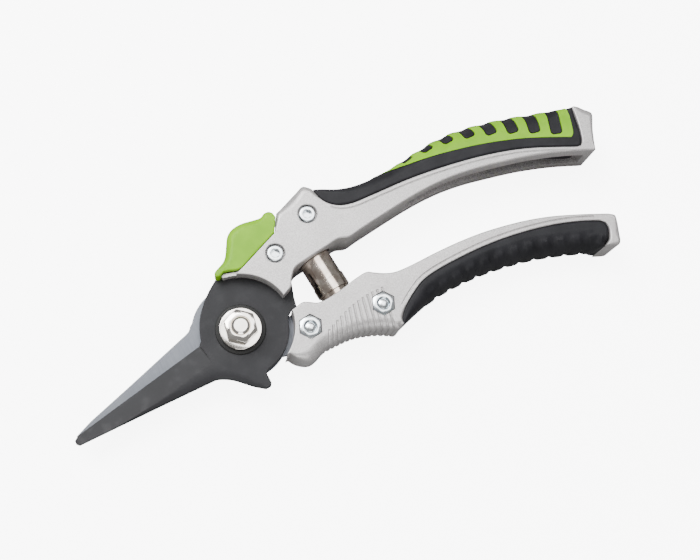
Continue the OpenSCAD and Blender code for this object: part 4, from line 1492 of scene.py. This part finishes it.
@dataclass
class Catch:
    """The thumb catch: a green button that slides along the upper handle's head.

    Attributes:
        finishes: the object's materials.
        base: how far from the pivot, across its slide, the button rides.
        room: the length kept free for its travel.
        ridge_places: where the grip lines are, along its slide.
        outer: the line of its thumb side, along and across its slide.
    """

    finishes: Finishes
    base: float = 12.9
    room: float = 3.8
    ridge_places: tuple[float, ...] = (14.2, 15.6, 17.0, 18.4, 19.8)
    outer: tuple[Point, ...] = (
        (7.9, 16.3), (7, 17.3), (8, 18.5), (12, 18.9), (14.5, 19.9), (17.3, 22), (20, 23.9), (23, 24.4),
        (26.5, 23.4), (30, 21.3), (32.2, 20), (34, 20), (35.5, 19.2), (36, 17.8),
    )

    def build(self) -> None:
        """Makes the button, and dresses the model's own slide plate, rivets, ball and spring."""
        base, room = self.base, self.room
        outline = Outline().run(uvs(smooth(self.outer)), 0.8, 1.2, *[2.6] * 7, 1.6, 0.8)
        under = [(35.6, 16.2), (31.3, base), (15.2, base), (13.7, base + 0.4), (11.6, 15.2), (9.9, 16.4)]
        outline.run(uvs(under), 0.5)
        button = Slab(outline, spacing=0.6, arcs=8, walls=3).build("catch_button_moulded")
        foot = [(5, 12), (18.8, 12), (18.8, base), (17.3, base + 0.4), (11.6 + room, 15.2)]
        foot += [(9.9 + room, 16.4), (5, 16.4)]
        slot = [(5, 10), (37, 10), (37, 13.4), (24, 13.4), (19.5, 15.4), (13.2, 18.2), (12, 18.6), (5, 19.5)]
        cutters = [prism(uvs(foot), 2.0, THICK - 2), prism(uvs(slot), CHEEK - 0.15, THICK - CHEEK + 0.15)]
        carve(button, *cutters, *self.ridges())
        self.finishes.place(button, Body.CATCH, Slot.GREEN_PLASTIC, "catch_button")
        for node, kept in (
            ("catch_slide_plate", Slot.BLADE_STEEL), ("catch_rivets", Slot.ZINC_PLATE),
            ("catch_detent_ball", Slot.ZINC_PLATE), ("catch_detent_spring", Slot.SPRING_STEEL),
        ):
            self.finishes.dress(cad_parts[node], kept)

    def ridges(self) -> list[bpy.types.Object]:
        """Makes the cutters of the shallow grip lines across the thumb's side of the button."""
        top = smooth(self.outer)[10:]
        made = []
        for u in self.ridge_places:
            at = uv(u, float(level(top, u)) + 0.18)
            made.append(tube([(*at, MID - 4.5), (*at, MID + 4.5)], 0.42))
        return made


# ---------------------------------------------------------------- studio

@dataclass
class Studio:
    """The floor, the lights and the camera."""

    focal: float = 1150.0                        # focal length over the picture's width of 700
    width: float = 700.0
    height: float = 560.0
    plumb: Point = (235.0, 550.0)                # where upright lines meet, in the picture
    heading: float = 27.0                        # how far the tool's axis is turned in the picture
    pivot: Point = (240.6, 328.4)                # where the pivot shows, in the picture
    pivot_height: float = 14.0
    distance: float = 371.0                      # from the camera to the handles' near faces
    aim: Point = (0.04, 0.0)                     # where the lights look, in metres
    lamps: tuple[tuple[str, Point, float, float, float], ...] = (
        ("key", (-0.15, 0.5), 0.75, 0.5, 12.0), ("overhead", (0.25, 0.18), 0.95, 0.6, 5.5),
        ("fill", (-0.25, -0.55), 0.35, 0.4, 2.2),
    )

    def camera(self) -> None:
        """Sets the camera up above the tool."""
        middle = Vector((self.width / 2, self.height / 2, 0))
        down = (Vector((*self.plumb, self.focal)) - middle).normalized()
        up = -down
        turn = math.radians(self.heading)
        ahead = Vector((math.cos(turn), -math.sin(turn), 0))
        x_axis = (ahead - up * ahead.dot(up)).normalized()
        y_axis = up.cross(x_axis)
        to_camera = Matrix((x_axis, y_axis, up)).transposed()
        ray = Vector((*self.pivot, self.focal)) - middle
        reach = (self.distance + THICK - self.pivot_height) / down.dot(ray)
        offset = ray * reach - up * self.pivot_height
        spot = -(to_camera.transposed() @ offset)
        right, lower, forward = to_camera.transposed().col
        data = bpy.data.cameras.new("camera")
        data.sensor_width = 36.0
        data.lens = self.focal / self.width * data.sensor_width
        data.clip_start, data.clip_end = 0.01, 10.0
        camera = bpy.data.objects.new("camera", data)
        bpy.context.scene.collection.objects.link(camera)
        turned = Matrix((right, -lower, -forward)).transposed().to_4x4()
        camera.matrix_world = Matrix.Translation(spot * MM) @ turned
        bpy.context.scene.camera = camera

    def softbox(self, name: str, at: Point, high: float, size: float, power: float) -> None:
        """Adds a square area light that looks at the tool, with sizes in metres and power in watts."""
        data = bpy.data.lights.new(name, "AREA")
        data.size, data.energy = size, power
        lamp = bpy.data.objects.new(name, data)
        bpy.context.scene.collection.objects.link(lamp)
        spot = Vector((*at, high))
        look = (Vector((*self.aim, 0)) - spot).to_track_quat("-Z", "Y")
        lamp.matrix_world = Matrix.Translation(spot) @ look.to_matrix().to_4x4()

    def build(self) -> None:
        """Makes the floor, world, lights and camera."""
        bm = bmesh.new()
        bmesh.ops.create_grid(bm, x_segments=1, y_segments=1, size=3000.0)
        floor = new_piece("floor", bm)
        paper = Shader("floor_paper", Roughness=0.9, Emission_Strength=1.0)
        seen = paper.add("ShaderNodeLightPath", output="Is Camera Ray")
        grain = paper.mix(paper.noise(60.0), (0.90, 0.90, 0.90), (0.92, 0.92, 0.92))
        paper.feed("Base Color", paper.mix(seen, (0.25, 0.25, 0.25), grain))
        paper.feed("Emission Color", paper.mix(seen, (0.0, 0.0, 0.0), (7.0, 7.0, 7.0)))
        floor.data.materials.append(paper.material)
        world = bpy.data.worlds.new("studio")
        world.use_nodes = True
        sky = next(n for n in world.node_tree.nodes if n.type == "BACKGROUND")
        sky.inputs["Color"].default_value = (1, 1, 1, 1)
        sky.inputs["Strength"].default_value = 0.3
        bpy.context.scene.world = world
        for lamp in self.lamps:
            self.softbox(*lamp)
        self.camera()


def main() -> None:
    """Builds every piece and the studio."""
    logging.basicConfig(level=logging.INFO, format="%(message)s")
    finishes = Finishes()
    for assembly in (
        UpperHandle(finishes), LowerHandle(finishes), Blades(finishes), Fasteners(finishes), Spring(finishes),
        Catch(finishes), Studio(),
    ):
        assembly.build()
        log.info("%s is made", type(assembly).__name__)


if __name__ == "__main__":
    main()
